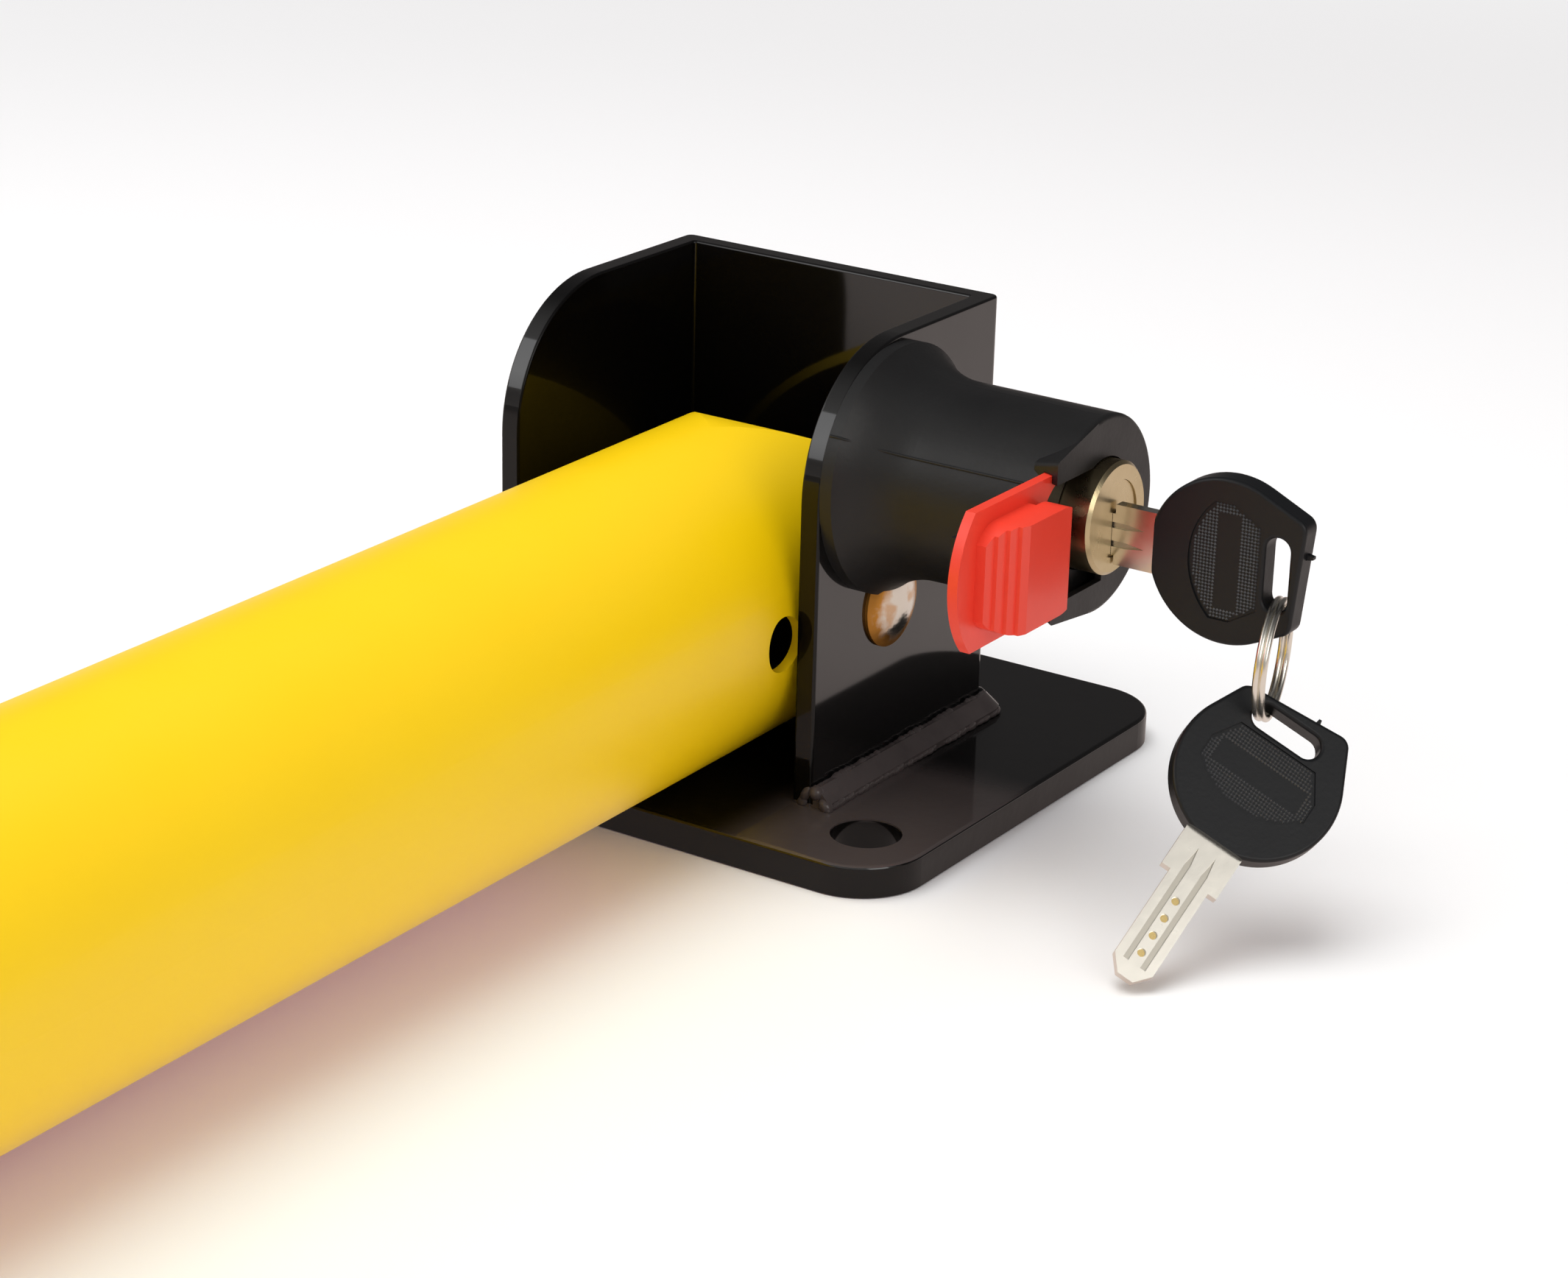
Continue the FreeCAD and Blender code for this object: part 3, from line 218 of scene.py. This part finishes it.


# Bright zinc of the pivot bolt, washer and nut, mottled with amber, with a painted amber reflection towards
# the rim
def zinc():
    metal = Finish("bright_zinc", {"Base Color": (0.78, 0.77, 0.74), "Roughness": 0.14, "Metallic": 1.0})
    away_y, away_z = metal.axis("Y") - PIVOT_Y * MM, metal.axis("Z") - PIVOT_Z * MM
    # Amber away from the pivot axis is a painted reflection; the noise adds random amber mottling
    rim_of_painted_reflection = metal.ramp((away_y * away_y + away_z * away_z) ** 0.5, 0.0045, 0.008)
    amber_mottle_and_reflection = (rim_of_painted_reflection + metal.ramp(metal.noise(210.0, 4.0), 0.45, 0.62) * 0.6).least(1.0)
    metal.feed("Base Color", metal.between(amber_mottle_and_reflection, (0.74, 0.7, 0.62), (0.56, 0.26, 0.05)))
    metal.feed("Roughness", 0.1 + metal.noise(240.0, 4.0) * 0.14 + rim_of_painted_reflection * 0.28)
    metal.bump(metal.noise(180.0, 3.0), 0.3, 0.0008)
    return metal.material


# Plain turned steel inside the lock and the post
def turned_steel():
    metal = Finish("turned_steel", {"Base Color": (0.52, 0.51, 0.5), "Roughness": 0.35, "Metallic": 1.0})
    metal.feed("Roughness", 0.26 + metal.noise(150.0, 3.0, (14, 1, 1)) * 0.2)
    return metal.material


# Black rubber of the lock cover, faintly mottled by the mould
def cover_rubber():
    rubber = Finish("black_cover_rubber", {"Base Color": (0.011, 0.011, 0.0115), "Roughness": 0.4,
                                           "Specular IOR Level": 0.34})
    bloom = rubber.noise(55.0, 5.0)
    rubber.feed("Base Color", rubber.between(bloom, (0.007, 0.007, 0.0073), (0.016, 0.0158, 0.0158)))
    rubber.feed("Roughness", 0.34 + rubber.noise(130.0, 4.0) * 0.16)
    rubber.bump(rubber.noise(900.0, 3.0), 0.1, 0.0003)
    return rubber.material


# Brass of the barrel and plug, brushed along the turned side
def lock_brass():
    metal = Finish("satin_lock_brass", {"Base Color": (0.62, 0.5, 0.3), "Roughness": 0.3, "Metallic": 1.0})
    tarnish = metal.noise(120.0, 4.0)
    metal.feed("Base Color", metal.between(tarnish, (0.5, 0.4, 0.21), (0.72, 0.6, 0.38)))
    metal.feed("Roughness", 0.2 + metal.noise(300.0, 4.0) * 0.18)
    metal.bump(metal.noise(700.0, 2.0, (1, 6, 1)), 0.1, 0.0002)
    return metal.material


# Nickel of the key blades and the ring
def key_nickel():
    metal = Finish("key_nickel", {"Base Color": (0.84, 0.81, 0.73), "Roughness": 0.18, "Metallic": 1.0})
    metal.feed("Roughness", 0.19 + metal.noise(260.0, 3.0) * 0.12)
    metal.bump(metal.noise(500.0, 2.0), 0.04, 0.0002)
    return metal.material


# Black plastic of the key bows and the post's end cap
def bow_plastic():
    plastic = Finish("black_bow_plastic", {"Base Color": (0.0065, 0.0072, 0.0082), "Roughness": 0.4,
                                           "Specular IOR Level": 0.32})
    plastic.feed("Roughness", 0.34 + plastic.noise(200.0, 4.0) * 0.14)
    plastic.bump(plastic.noise(1400.0, 2.0), 0.08, 0.0003)
    return plastic.material


# Darker nickel on the floors of the milled grooves as painted shade, and the yellow metal shown in the
# dimples
def groove_shade_nickel():
    metal = Finish("groove_shade_nickel", {"Base Color": (0.56, 0.53, 0.46), "Roughness": 0.32, "Metallic": 1.0})
    metal.feed("Roughness", 0.26 + metal.noise(500.0, 3.0, (1, 8, 8)) * 0.2)
    return metal.material


def dimple_metal():
    metal = Finish("dimple_metal", {"Base Color": (0.62, 0.47, 0.2), "Roughness": 0.25, "Metallic": 1.0})
    metal.feed("Roughness", 0.2 + metal.noise(600.0, 2.0) * 0.15)
    return metal.material


# Glossier plastic of the grip studs, lighter than the bows as a painted highlight
def stud_plastic():
    plastic = Finish("grip_plastic_painted_highlight", {"Base Color": (0.055, 0.057, 0.06), "Roughness": 0.22})
    plastic.feed("Roughness", 0.18 + plastic.noise(400.0, 2.0) * 0.12)
    return plastic.material


# Red plastic of the dust slide
def slide_plastic():
    plastic = Finish("red_slide_plastic", {"Base Color": (0.85, 0.054, 0.028), "Roughness": 0.34,
                                           "Coat Weight": 0.1, "Coat Roughness": 0.12})
    tint = plastic.noise(60.0, 3.0)
    plastic.feed("Base Color", plastic.between(tint, (0.82, 0.047, 0.024), (0.88, 0.062, 0.032)))
    plastic.bump(plastic.noise(800.0, 2.0), 0.05, 0.0003)
    return plastic.material


FINISHES = {
    "black_paint": foot_paint(),
    "yellow_paint": post_paint(),
    "zinc_steel": zinc(),
    "plain_steel": turned_steel(),
    "black_rubber": cover_rubber(),
    "brass": lock_brass(),
    "nickel": key_nickel(),
    "black_plastic": bow_plastic(),
    "red_plastic": slide_plastic(),
}
for entry in frame["record"]["subparts"]:
    piece = nodes[entry["node"]]
    piece.data.materials.clear()
    piece.data.materials.append(FINISHES[entry["material_slot"]])


# Node trees that make repeated and path-following pieces
class Maker:
    def __init__(self, name, sizes):
        self.tree = bpy.data.node_groups.new(name, "GeometryNodeTree")
        self.tree.interface.new_socket("Geometry", in_out="INPUT", socket_type="NodeSocketGeometry")
        self.sizes = sizes
        self.keys = {}
        for key, value in sizes.items():
            kind = "NodeSocketInt" if isinstance(value, int) else "NodeSocketFloat"
            made = self.tree.interface.new_socket(key, in_out="INPUT", socket_type=kind)
            made.default_value = value
            self.keys[key] = made.identifier
        self.tree.interface.new_socket("Geometry", in_out="OUTPUT", socket_type="NodeSocketGeometry")
        self.start = self.tree.nodes.new("NodeGroupInput")
        self.stop = self.tree.nodes.new("NodeGroupOutput")

    def size(self, key):
        return self.start.outputs[key]

    def add(self, kind, settings=None, sockets=None, out=0):
        made = self.tree.nodes.new(kind)
        for key, value in (settings or {}).items():
            setattr(made, key, value)
        for key, value in (sockets or {}).items():
            if isinstance(value, bpy.types.NodeSocket):
                self.tree.links.new(value, made.inputs[key])
            else:
                made.inputs[key].default_value = value
        return made.outputs[out]

    def maths(self, operation, first, second=0.0):
        return self.add("ShaderNodeMath", {"operation": operation}, {0: first, 1: second})

    def close(self, geometry, finish):
        plain = self.add("GeometryNodeRealizeInstances", {}, {"Geometry": geometry})
        dressed = self.add("GeometryNodeSetMaterial", {}, {"Geometry": plain, "Material": finish})
        self.tree.links.new(dressed, self.stop.inputs[0])

    def run(self, name, carrier, where, body):
        bpy.context.scene.collection.objects.link(carrier)
        modifier = carrier.modifiers.new("make", "NODES")
        modifier.node_group = self.tree
        for key, value in self.sizes.items():
            modifier[self.keys[key]] = value
        bpy.context.view_layer.update()
        graph = bpy.context.evaluated_depsgraph_get()
        mesh = bpy.data.meshes.new_from_object(carrier.evaluated_get(graph))
        mesh.transform(where)
        mesh.name = name
        carrier.modifiers.clear()
        bpy.data.objects.remove(carrier)
        piece = bpy.data.objects.new(name, mesh)
        bpy.context.scene.collection.objects.link(piece)
        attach(piece, body)


def path(name, runs):
    line = bpy.data.curves.new(name, "CURVE")
    line.dimensions = "3D"
    for points in runs:
        spline = line.splines.new("POLY")
        spline.points.add(len(points) - 1)
        for point, place in zip(spline.points, points):
            point.co = (*(Vector(place) * MM), 1)
    return bpy.data.objects.new(name, line)


def blank(name):
    return bpy.data.objects.new(name, bpy.data.meshes.new(name))


def turned(degrees, letter):
    return Matrix.Rotation(math.radians(degrees), 4, letter)


def moved(place):
    return Matrix.Translation(Vector(place) * MM)


STAY = Matrix.Identity(4)

# Weld ripples laid along the foot of the bracket
TOE_NEAR, TOE_FAR, TOE_START = 0.45, 3.1, 2.2
BEND_STEPS = 8


def foot_line(out, height):
    half = [(WALL_FACE + out, y, height) for y in (FRONT_EDGE + TOE_START, BACK_FACE - BEND)]
    reach = BEND + out
    for step in range(1, BEND_STEPS + 1):
        a = math.radians(90 * step / BEND_STEPS)
        half.append((WALL_FACE - BEND + reach * math.cos(a),
                     BACK_FACE - BEND + reach * math.sin(a), height))
    return half + [(-x, y, z) for x, y, z in reversed(half)]


ripple = Maker("weld_toe_rule", {"Pitch": 1.7 * MM, "Radius": 1.25 * MM, "Seed": 7})
laid = ripple.add("GeometryNodeResampleCurve", {"mode": "LENGTH"},
                  {"Curve": ripple.start.outputs[0], "Length": ripple.size("Pitch")})
tangent = ripple.add("GeometryNodeInputTangent")
facing = ripple.add("FunctionNodeAlignRotationToVector", {"axis": "Y"}, {"Vector": tangent})
scale_spread = ripple.add("FunctionNodeRandomValue", {"data_type": "FLOAT_VECTOR"},
                          {0: (0.75, 1.1, 0.75), 1: (1.15, 2.1, 1.15), "Seed": ripple.size("Seed")})
drop = ripple.add("GeometryNodeMeshUVSphere", {},
                  {"Segments": 14, "Rings": 9, "Radius": ripple.size("Radius")})
smooth_drop = ripple.add("GeometryNodeSetShadeSmooth", {}, {"Geometry": drop})
beads = ripple.add("GeometryNodeInstanceOnPoints", {},
                   {"Points": laid, "Instance": smooth_drop, "Rotation": facing, "Scale": scale_spread})
ripple.close(beads, FINISHES["black_paint"])
FOOT_RUNS = [foot_line(TOE_NEAR, PLATE_TOP + TOE_FAR), foot_line(TOE_FAR, PLATE_TOP + TOE_NEAR)]
# Short runs at the front ends of the walls: up the edge, then down the end of the weld
END_RUNS = [[(side * (WALL_FACE - 1.9), FRONT_EDGE + 0.5, PLATE_TOP + 0.7),
             (side * (WALL_FACE - 1.1), FRONT_EDGE + 0.5, PLATE_TOP + 2.2)] for side in (1, -1)]
END_RUNS += [[(side * (WALL_FACE + 0.9), FRONT_EDGE + 0.4, PLATE_TOP + 2.9),
              (side * (WALL_FACE + 3.0), FRONT_EDGE + 0.4, PLATE_TOP + 0.7)] for side in (1, -1)]
ripple.run("weld_toes", path("weld_path", FOOT_RUNS + END_RUNS), STAY, "foot")

# Parting line left by the mould on both sides of the lock cover
COVER = [(35.4, 23.1), (37.65, 23.1), (39.0, 21.55), (40.8, 20.25), (43.0, 19.25), (46.0, 18.5),
         (49.65, 18.2), (60.0, 18.12), (74.0, 18.02)]
PARTING_ANGLES = (152, -28)


def cover_line(degrees):
    a = math.radians(degrees)
    return [(x, r * math.cos(a), LOCK_HEIGHT + r * math.sin(a)) for x, r in COVER]


seam = Maker("parting_line_rule", {"Radius": 0.28 * MM})
section = seam.add("GeometryNodeCurvePrimitiveCircle", {}, {"Resolution": 8, "Radius": seam.size("Radius")})
ridge = seam.add("GeometryNodeCurveToMesh", {},
                 {"Curve": seam.start.outputs[0], "Profile Curve": section, "Fill Caps": True})
seam.close(seam.add("GeometryNodeSetShadeSmooth", {}, {"Geometry": ridge}), FINISHES["black_rubber"])
seam_lines = [cover_line(angle) for angle in PARTING_ANGLES]
seam.run("cover_parting_line", path("parting_path", seam_lines), STAY, "foot")

# Return spring of the core, its seams merged into one smooth mesh and hung on the foot
MERGE = 0.002
spring_mesh = nodes["core_spring"].data.copy()
spring_mesh.name = "return_spring"
joined = bmesh.new()
joined.from_mesh(spring_mesh)
bmesh.ops.remove_doubles(joined, verts=joined.verts, dist=MERGE * MM)
joined.to_mesh(spring_mesh)
joined.free()
spring_mesh.polygons.foreach_set("use_smooth", [True] * len(spring_mesh.polygons))
return_spring = bpy.data.objects.new("return_spring", spring_mesh)
bpy.context.scene.collection.objects.link(return_spring)
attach(return_spring, "foot")
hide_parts("core_spring")
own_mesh(return_spring)

# Thread on the end of the pivot bolt
THREAD_START = -46.85
thread = Maker("thread_rule", {"Radius": 3.92 * MM, "Wire": 0.32 * MM, "Length": 1.2 * MM, "Turns": 1.3})
helix = thread.add("GeometryNodeCurveSpiral", {},
                   {"Resolution": 40, "Rotations": thread.size("Turns"), "Height": thread.size("Length"),
                    "Start Radius": thread.size("Radius"), "End Radius": thread.size("Radius")})
crest = thread.add("GeometryNodeCurvePrimitiveCircle", {}, {"Resolution": 6, "Radius": thread.size("Wire")})
wound = thread.add("GeometryNodeCurveToMesh", {},
                   {"Curve": helix, "Profile Curve": crest, "Fill Caps": True})
thread.close(wound, FINISHES["zinc_steel"])
thread_place = moved((THREAD_START, PIVOT_Y, PIVOT_Z)) @ turned(90, "Y")
thread.run("bolt_thread", blank("thread_carrier"), thread_place, "foot")

# Diamond grip pressed into the sunk panels of both keys, round a bare rectangle
BOW_FLAT = 90.5
KEY_HEIGHT = 62.25
PANEL_START, PANEL_STOP, PANEL_HALF, PANEL_RADIUS = 6.8, 20.3, 10.6, 14.5
PANEL_FLOOR = 1.95
PANEL_MID = (PANEL_START + PANEL_STOP) / 2
BARE_SHIFT, CUT_RUN, CUT_SLOPE = 0.6, 5.6, 0.6
ARC_GAP, CUT_GAP, STUD_TIP = 0.5, 0.3, 0.05
SPARE_HOOK = (114.8922, -5.1131, 37.1277)
SPARE_HELD = (23.79, 0.0, -5.05)
SPARE_YAW, SPARE_PITCH, SPARE_ROLL = 79.98, -38.41, 128.29
knurl = Maker("diamond_rule", {"Across": 12.6 * MM, "Up": 20.3 * MM, "Columns": 21, "Rows": 34,
                               "Radius": 0.33 * MM, "Rise": 0.26 * MM,
                               "Bare Half Width": 2.4 * MM, "Bare Half Height": 8.4 * MM,
                               "Arc Centre": (PANEL_START + PANEL_RADIUS - PANEL_MID) * MM,
                               "Arc Radius": (PANEL_RADIUS - ARC_GAP) * MM,
                               "Cut Start": (PANEL_STOP - CUT_RUN - PANEL_MID) * MM,
                               "Cut Height": (PANEL_HALF - CUT_GAP) * MM})
grid = knurl.add("GeometryNodeMeshGrid", {},
                 {"Size X": knurl.size("Across"), "Size Y": knurl.size("Up"),
                  "Vertices X": knurl.size("Columns"), "Vertices Y": knurl.size("Rows")})
figure = knurl.maths
spot = knurl.add("GeometryNodeInputPosition")
across = knurl.add("ShaderNodeSeparateXYZ", {}, {0: spot}, out="X")
rise = figure("ABSOLUTE", knurl.add("ShaderNodeSeparateXYZ", {}, {0: spot}, out="Y"))
from_bare = figure("ABSOLUTE", figure("SUBTRACT", across, BARE_SHIFT * MM))
bare_x = figure("LESS_THAN", from_bare, knurl.size("Bare Half Width"))
bare = figure("MULTIPLY", bare_x, figure("LESS_THAN", rise, knurl.size("Bare Half Height")))
from_arc = figure("SUBTRACT", across, knurl.size("Arc Centre"))
arc_squared = figure("ADD", figure("MULTIPLY", from_arc, from_arc), figure("MULTIPLY", rise, rise))
in_arc = figure("LESS_THAN", figure("SQRT", arc_squared), knurl.size("Arc Radius"))
past_cut = figure("MAXIMUM", figure("SUBTRACT", across, knurl.size("Cut Start")), 0.0)
cut_line = figure("ADD", rise, figure("MULTIPLY", past_cut, CUT_SLOPE))
in_cut = figure("LESS_THAN", cut_line, knurl.size("Cut Height"))
kept = figure("SUBTRACT", figure("MULTIPLY", in_arc, in_cut), bare)
stud = knurl.add("GeometryNodeMeshCone", {"fill_type": "NGON"},
                 {"Vertices": 4, "Radius Top": STUD_TIP * MM, "Radius Bottom": knurl.size("Radius"),
                  "Depth": knurl.size("Rise")})
studs = knurl.add("GeometryNodeInstanceOnPoints", {},
                  {"Points": grid, "Selection": figure("GREATER_THAN", kept, 0.5), "Instance": stud})
knurl.close(studs, stud_plastic())
main_key = moved((BOW_FLAT, 0, KEY_HEIGHT))
spare_turn = turned(SPARE_YAW, "Z") @ turned(SPARE_PITCH, "Y") @ turned(SPARE_ROLL, "X")
spare_key = moved(Vector(SPARE_HOOK) - spare_turn @ Vector(SPARE_HELD)) @ spare_turn

# Floors of the blade grooves, darkened as painted shade, and the dimples
GROOVE_FLOOR, GROOVE_LIFT = 0.65, 0.03
PIT_START, PIT_STEP = -12.5, -3.6
GROOVE = [(-25.5, -0.48), (-5.95, -0.48), (-2.6, 0.0), (-5.95, 0.48), (-25.5, 0.48)]
groove_mesh = bpy.data.meshes.new("groove_floor")
groove_mesh.from_pydata([(x * MM, y * MM, 0) for x, y in GROOVE], [], [(0, 1, 2, 3, 4)])
milled = Maker("groove_rule", {"Apart": 1.7 * MM})
low_y = milled.maths("MULTIPLY", milled.size("Apart"), -1.0)
step_y = milled.maths("MULTIPLY", milled.size("Apart"), 2.0)
low_start = milled.add("ShaderNodeCombineXYZ", {}, {"Y": low_y})
step_up = milled.add("ShaderNodeCombineXYZ", {}, {"Y": step_y})
pair = milled.add("GeometryNodeMeshLine", {"mode": "OFFSET"},
                  {"Count": 2, "Start Location": low_start, "Offset": step_up})
floors = milled.add("GeometryNodeInstanceOnPoints", {},
                    {"Points": pair, "Instance": milled.start.outputs[0]})
milled.close(floors, groove_shade_nickel())
pits = Maker("dimple_rule", {"Count": 4, "Radius": 0.68 * MM})
pit_line = pits.add("GeometryNodeMeshLine", {"mode": "OFFSET"},
                    {"Count": pits.size("Count"), "Start Location": (PIT_START * MM, 0, 0),
                     "Offset": (PIT_STEP * MM, 0, 0)})
pit = pits.add("GeometryNodeMeshCircle", {"fill_type": "NGON"},
               {"Vertices": 16, "Radius": pits.size("Radius")})
pit_row = pits.add("GeometryNodeInstanceOnPoints", {}, {"Points": pit_line, "Instance": pit})
pits.close(pit_row, dimple_metal())
panel_mid = moved((PANEL_MID, 0, PANEL_FLOOR))
groove_lift = moved((0, 0, GROOVE_FLOOR + GROOVE_LIFT))
for name, key_place in (("key", main_key), ("spare_key", spare_key)):
    for side, turn in (("front", 90), ("back", -90)):
        outward = key_place @ turned(turn, "X")
        knurl.run(name + "_grip_" + side, blank(name + side), outward @ panel_mid, name)
        milled.run(name + "_grooves_" + side, bpy.data.objects.new(name + "groove", groove_mesh.copy()),
                   outward @ groove_lift, name)
        pits.run(name + "_dimples_" + side, blank(name + "pit"), outward @ groove_lift, name)

# Pale floor that keeps soft shadows, with a painted pink tint in the shadow beside the post
BACKDROP = (0.93, 0.93, 0.93, 1)
FLOOR_REACH, FLOOR_DROP = 4.0, -0.0002
floor_material = bpy.data.materials.new("pale_floor")
floor_material.use_nodes = True
paving = Wiring(floor_material.node_tree)
bounce = paving.node("ShaderNodeBsdfDiffuse", {}, {"Color": (0.9, 0.87, 0.84, 1)})
# Beside the post's front the shadow gets a painted pink tint: a pink emission, with the lit colour shifted
# so full light stays neutral
by_side = paving.ramp(abs(paving.axis("X")), 0.06, 0.15)
by_front = paving.ramp(paving.axis("Y"), -0.09, -0.03)
beside_post = (1.0 - by_side) * (1.0 - by_front)
toned = paving.between(beside_post, (0.925, 0.93, 0.93), (0.82, 0.925, 0.79))
lit = paving.node("ShaderNodeBsdfDiffuse", {}, {"Color": toned})
painted_shadow_tint = paving.node("ShaderNodeEmission", {}, {"Color": (0.09, 0.0, 0.12, 1), "Strength": beside_post})
warm = paving.node("ShaderNodeEmission", {}, {"Color": (0.7, 0.57, 0.53, 1), "Strength": 1.0})
shown = paving.node("ShaderNodeAddShader", {}, {0: lit, 1: painted_shadow_tint})
mirrored = paving.node("ShaderNodeMixShader", {}, {0: 0.65, 1: bounce, 2: warm})
far = paving.node("ShaderNodeVectorMath", {"operation": "LENGTH"}, {0: paving.place()}, out="Value")
distant = paving.ramp(far, 0.42, 1.15)
backdrop = paving.node("ShaderNodeEmission", {}, {"Color": BACKDROP, "Strength": 1.0})
swept = paving.node("ShaderNodeMixShader", {}, {0: distant, 1: shown, 2: backdrop})
seen = paving.node("ShaderNodeMixShader", {}, {0: paving.ray("Camera"), 1: bounce, 2: swept})
paving.close("ShaderNodeOutputMaterial",
             paving.node("ShaderNodeMixShader", {}, {0: paving.ray("Glossy"), 1: seen, 2: mirrored}))
floor_mesh = bpy.data.meshes.new("floor")
corners = [(x * FLOOR_REACH, y * FLOOR_REACH, FLOOR_DROP) for x, y in ((-1, -1), (1, -1), (1, 1), (-1, 1))]
floor_mesh.from_pydata(corners, [], [(0, 1, 2, 3)])
floor_mesh.materials.append(floor_material)
floor = bpy.data.objects.new("floor", floor_mesh)
bpy.context.scene.collection.objects.link(floor)

# Studio room: pale to the camera, banded in dark and light for the gloss to mirror
BACK_STOPS = [(0.0, (0.3, 0.27, 0.26)), (0.5, (0.2, 0.18, 0.17)), (0.58, (0.09, 0.084, 0.082)),
              (0.74, (0.07, 0.067, 0.067)), (1.0, (0.06, 0.06, 0.062))]
FRONT_STOPS = [(0.0, (0.35, 0.32, 0.3)), (0.5, (0.4, 0.37, 0.36)), (0.6, (0.3, 0.28, 0.27)),
               (0.72, (0.85, 0.83, 0.8)), (0.86, (0.55, 0.54, 0.53)), (1.0, (0.06, 0.06, 0.062))]
world = bpy.data.worlds.new("studio")
bpy.context.scene.world = world
world.use_nodes = True
room = Wiring(world.node_tree)
toward = room.node("ShaderNodeTexCoord", out="Generated")
height = room.node("ShaderNodeSeparateXYZ", {}, {0: toward}, out="Z") * 0.5 + 0.5
behind = room.ramp(room.node("ShaderNodeSeparateXYZ", {}, {0: toward}, out="Y"), -0.25, 0.3)
back_wall = room.node("ShaderNodeValToRGB", {"stops": BACK_STOPS}, {0: height})
front_wall = room.node("ShaderNodeValToRGB", {"stops": FRONT_STOPS}, {0: height})
tone = room.node("ShaderNodeMix", {"data_type": "RGBA"}, {0: behind, 6: front_wall, 7: back_wall}, out=2)
mirrored_room = room.node("ShaderNodeBackground", {}, {"Color": tone, "Strength": 1.0})
fill = room.node("ShaderNodeBackground", {}, {"Color": (1, 0.94, 0.955, 1), "Strength": 0.47})
pale = room.node("ShaderNodeBackground", {}, {"Color": BACKDROP, "Strength": 1.0})
plain = room.node("ShaderNodeMixShader", {}, {0: room.ray("Camera"), 1: fill, 2: pale})
room.close("ShaderNodeOutputWorld",
           room.node("ShaderNodeMixShader", {}, {0: room.ray("Glossy"), 1: plain, 2: mirrored_room}))


# Soft lamps: one overhead, one from the key side and one from the left
def softbox(name, place, target, width, height, power, colour):
    lamp = bpy.data.lights.new(name, "AREA")
    lamp.shape = "RECTANGLE"
    lamp.size = width
    lamp.size_y = height
    lamp.energy = power
    lamp.color = colour
    made = bpy.data.objects.new(name, lamp)
    made.location = place
    made.rotation_euler = (Vector(target) - Vector(place)).to_track_quat("-Z", "Y").to_euler()
    bpy.context.scene.collection.objects.link(made)
    return made


AIM = (0.03, -0.05, 0.04)
overhead = softbox("overhead", (-0.15, -0.15, 1.15), AIM, 1.0, 1.0, 10.6, (0.985, 1, 0.99))
overhead.visible_glossy = False
softbox("key_side", (1.1, -0.55, 0.65), AIM, 0.7, 0.7, 3.2, (1, 0.97, 0.94))
softbox("left_side", (-0.9, -0.9, 0.8), AIM, 0.8, 0.8, 3.0, (0.97, 0.98, 1))

# Camera at the photograph's place and angle
IMAGE_WIDTH, IMAGE_HEIGHT = 2130, 1736
FOCAL_PX, CENTRE_X, CENTRE_Y = 5016.37, 1148.82, 941.28
AZIMUTH, ELEVATION, ROLL = 0.5645, 0.3754, 0.0327
CAMERA_AT = Vector((368.58, -538.77, 270.42)) * MM
lens = bpy.data.cameras.new("photo_camera")
lens.sensor_fit = "HORIZONTAL"
lens.sensor_width = 36.0
lens.lens = FOCAL_PX / IMAGE_WIDTH * lens.sensor_width
lens.shift_x = (IMAGE_WIDTH / 2 - CENTRE_X) / IMAGE_WIDTH
lens.shift_y = (CENTRE_Y - IMAGE_HEIGHT / 2) / IMAGE_WIDTH
lens.clip_start = 0.01
camera = bpy.data.objects.new("photo_camera", lens)
away = Vector((math.sin(AZIMUTH) * math.cos(ELEVATION),
               -math.cos(AZIMUTH) * math.cos(ELEVATION),
               math.sin(ELEVATION)))
right = Vector((math.cos(AZIMUTH), math.sin(AZIMUTH), 0))
upward = away.cross(right)
tilted_right = right * math.cos(ROLL) + upward * math.sin(ROLL)
tilted_up = upward * math.cos(ROLL) - right * math.sin(ROLL)
camera.matrix_world = Matrix((
    (tilted_right.x, tilted_up.x, away.x, CAMERA_AT.x),
    (tilted_right.y, tilted_up.y, away.y, CAMERA_AT.y),
    (tilted_right.z, tilted_up.z, away.z, CAMERA_AT.z),
    (0, 0, 0, 1)))
bpy.context.scene.collection.objects.link(camera)
bpy.context.scene.camera = camera
bpy.context.scene.view_settings.view_transform = "Standard"
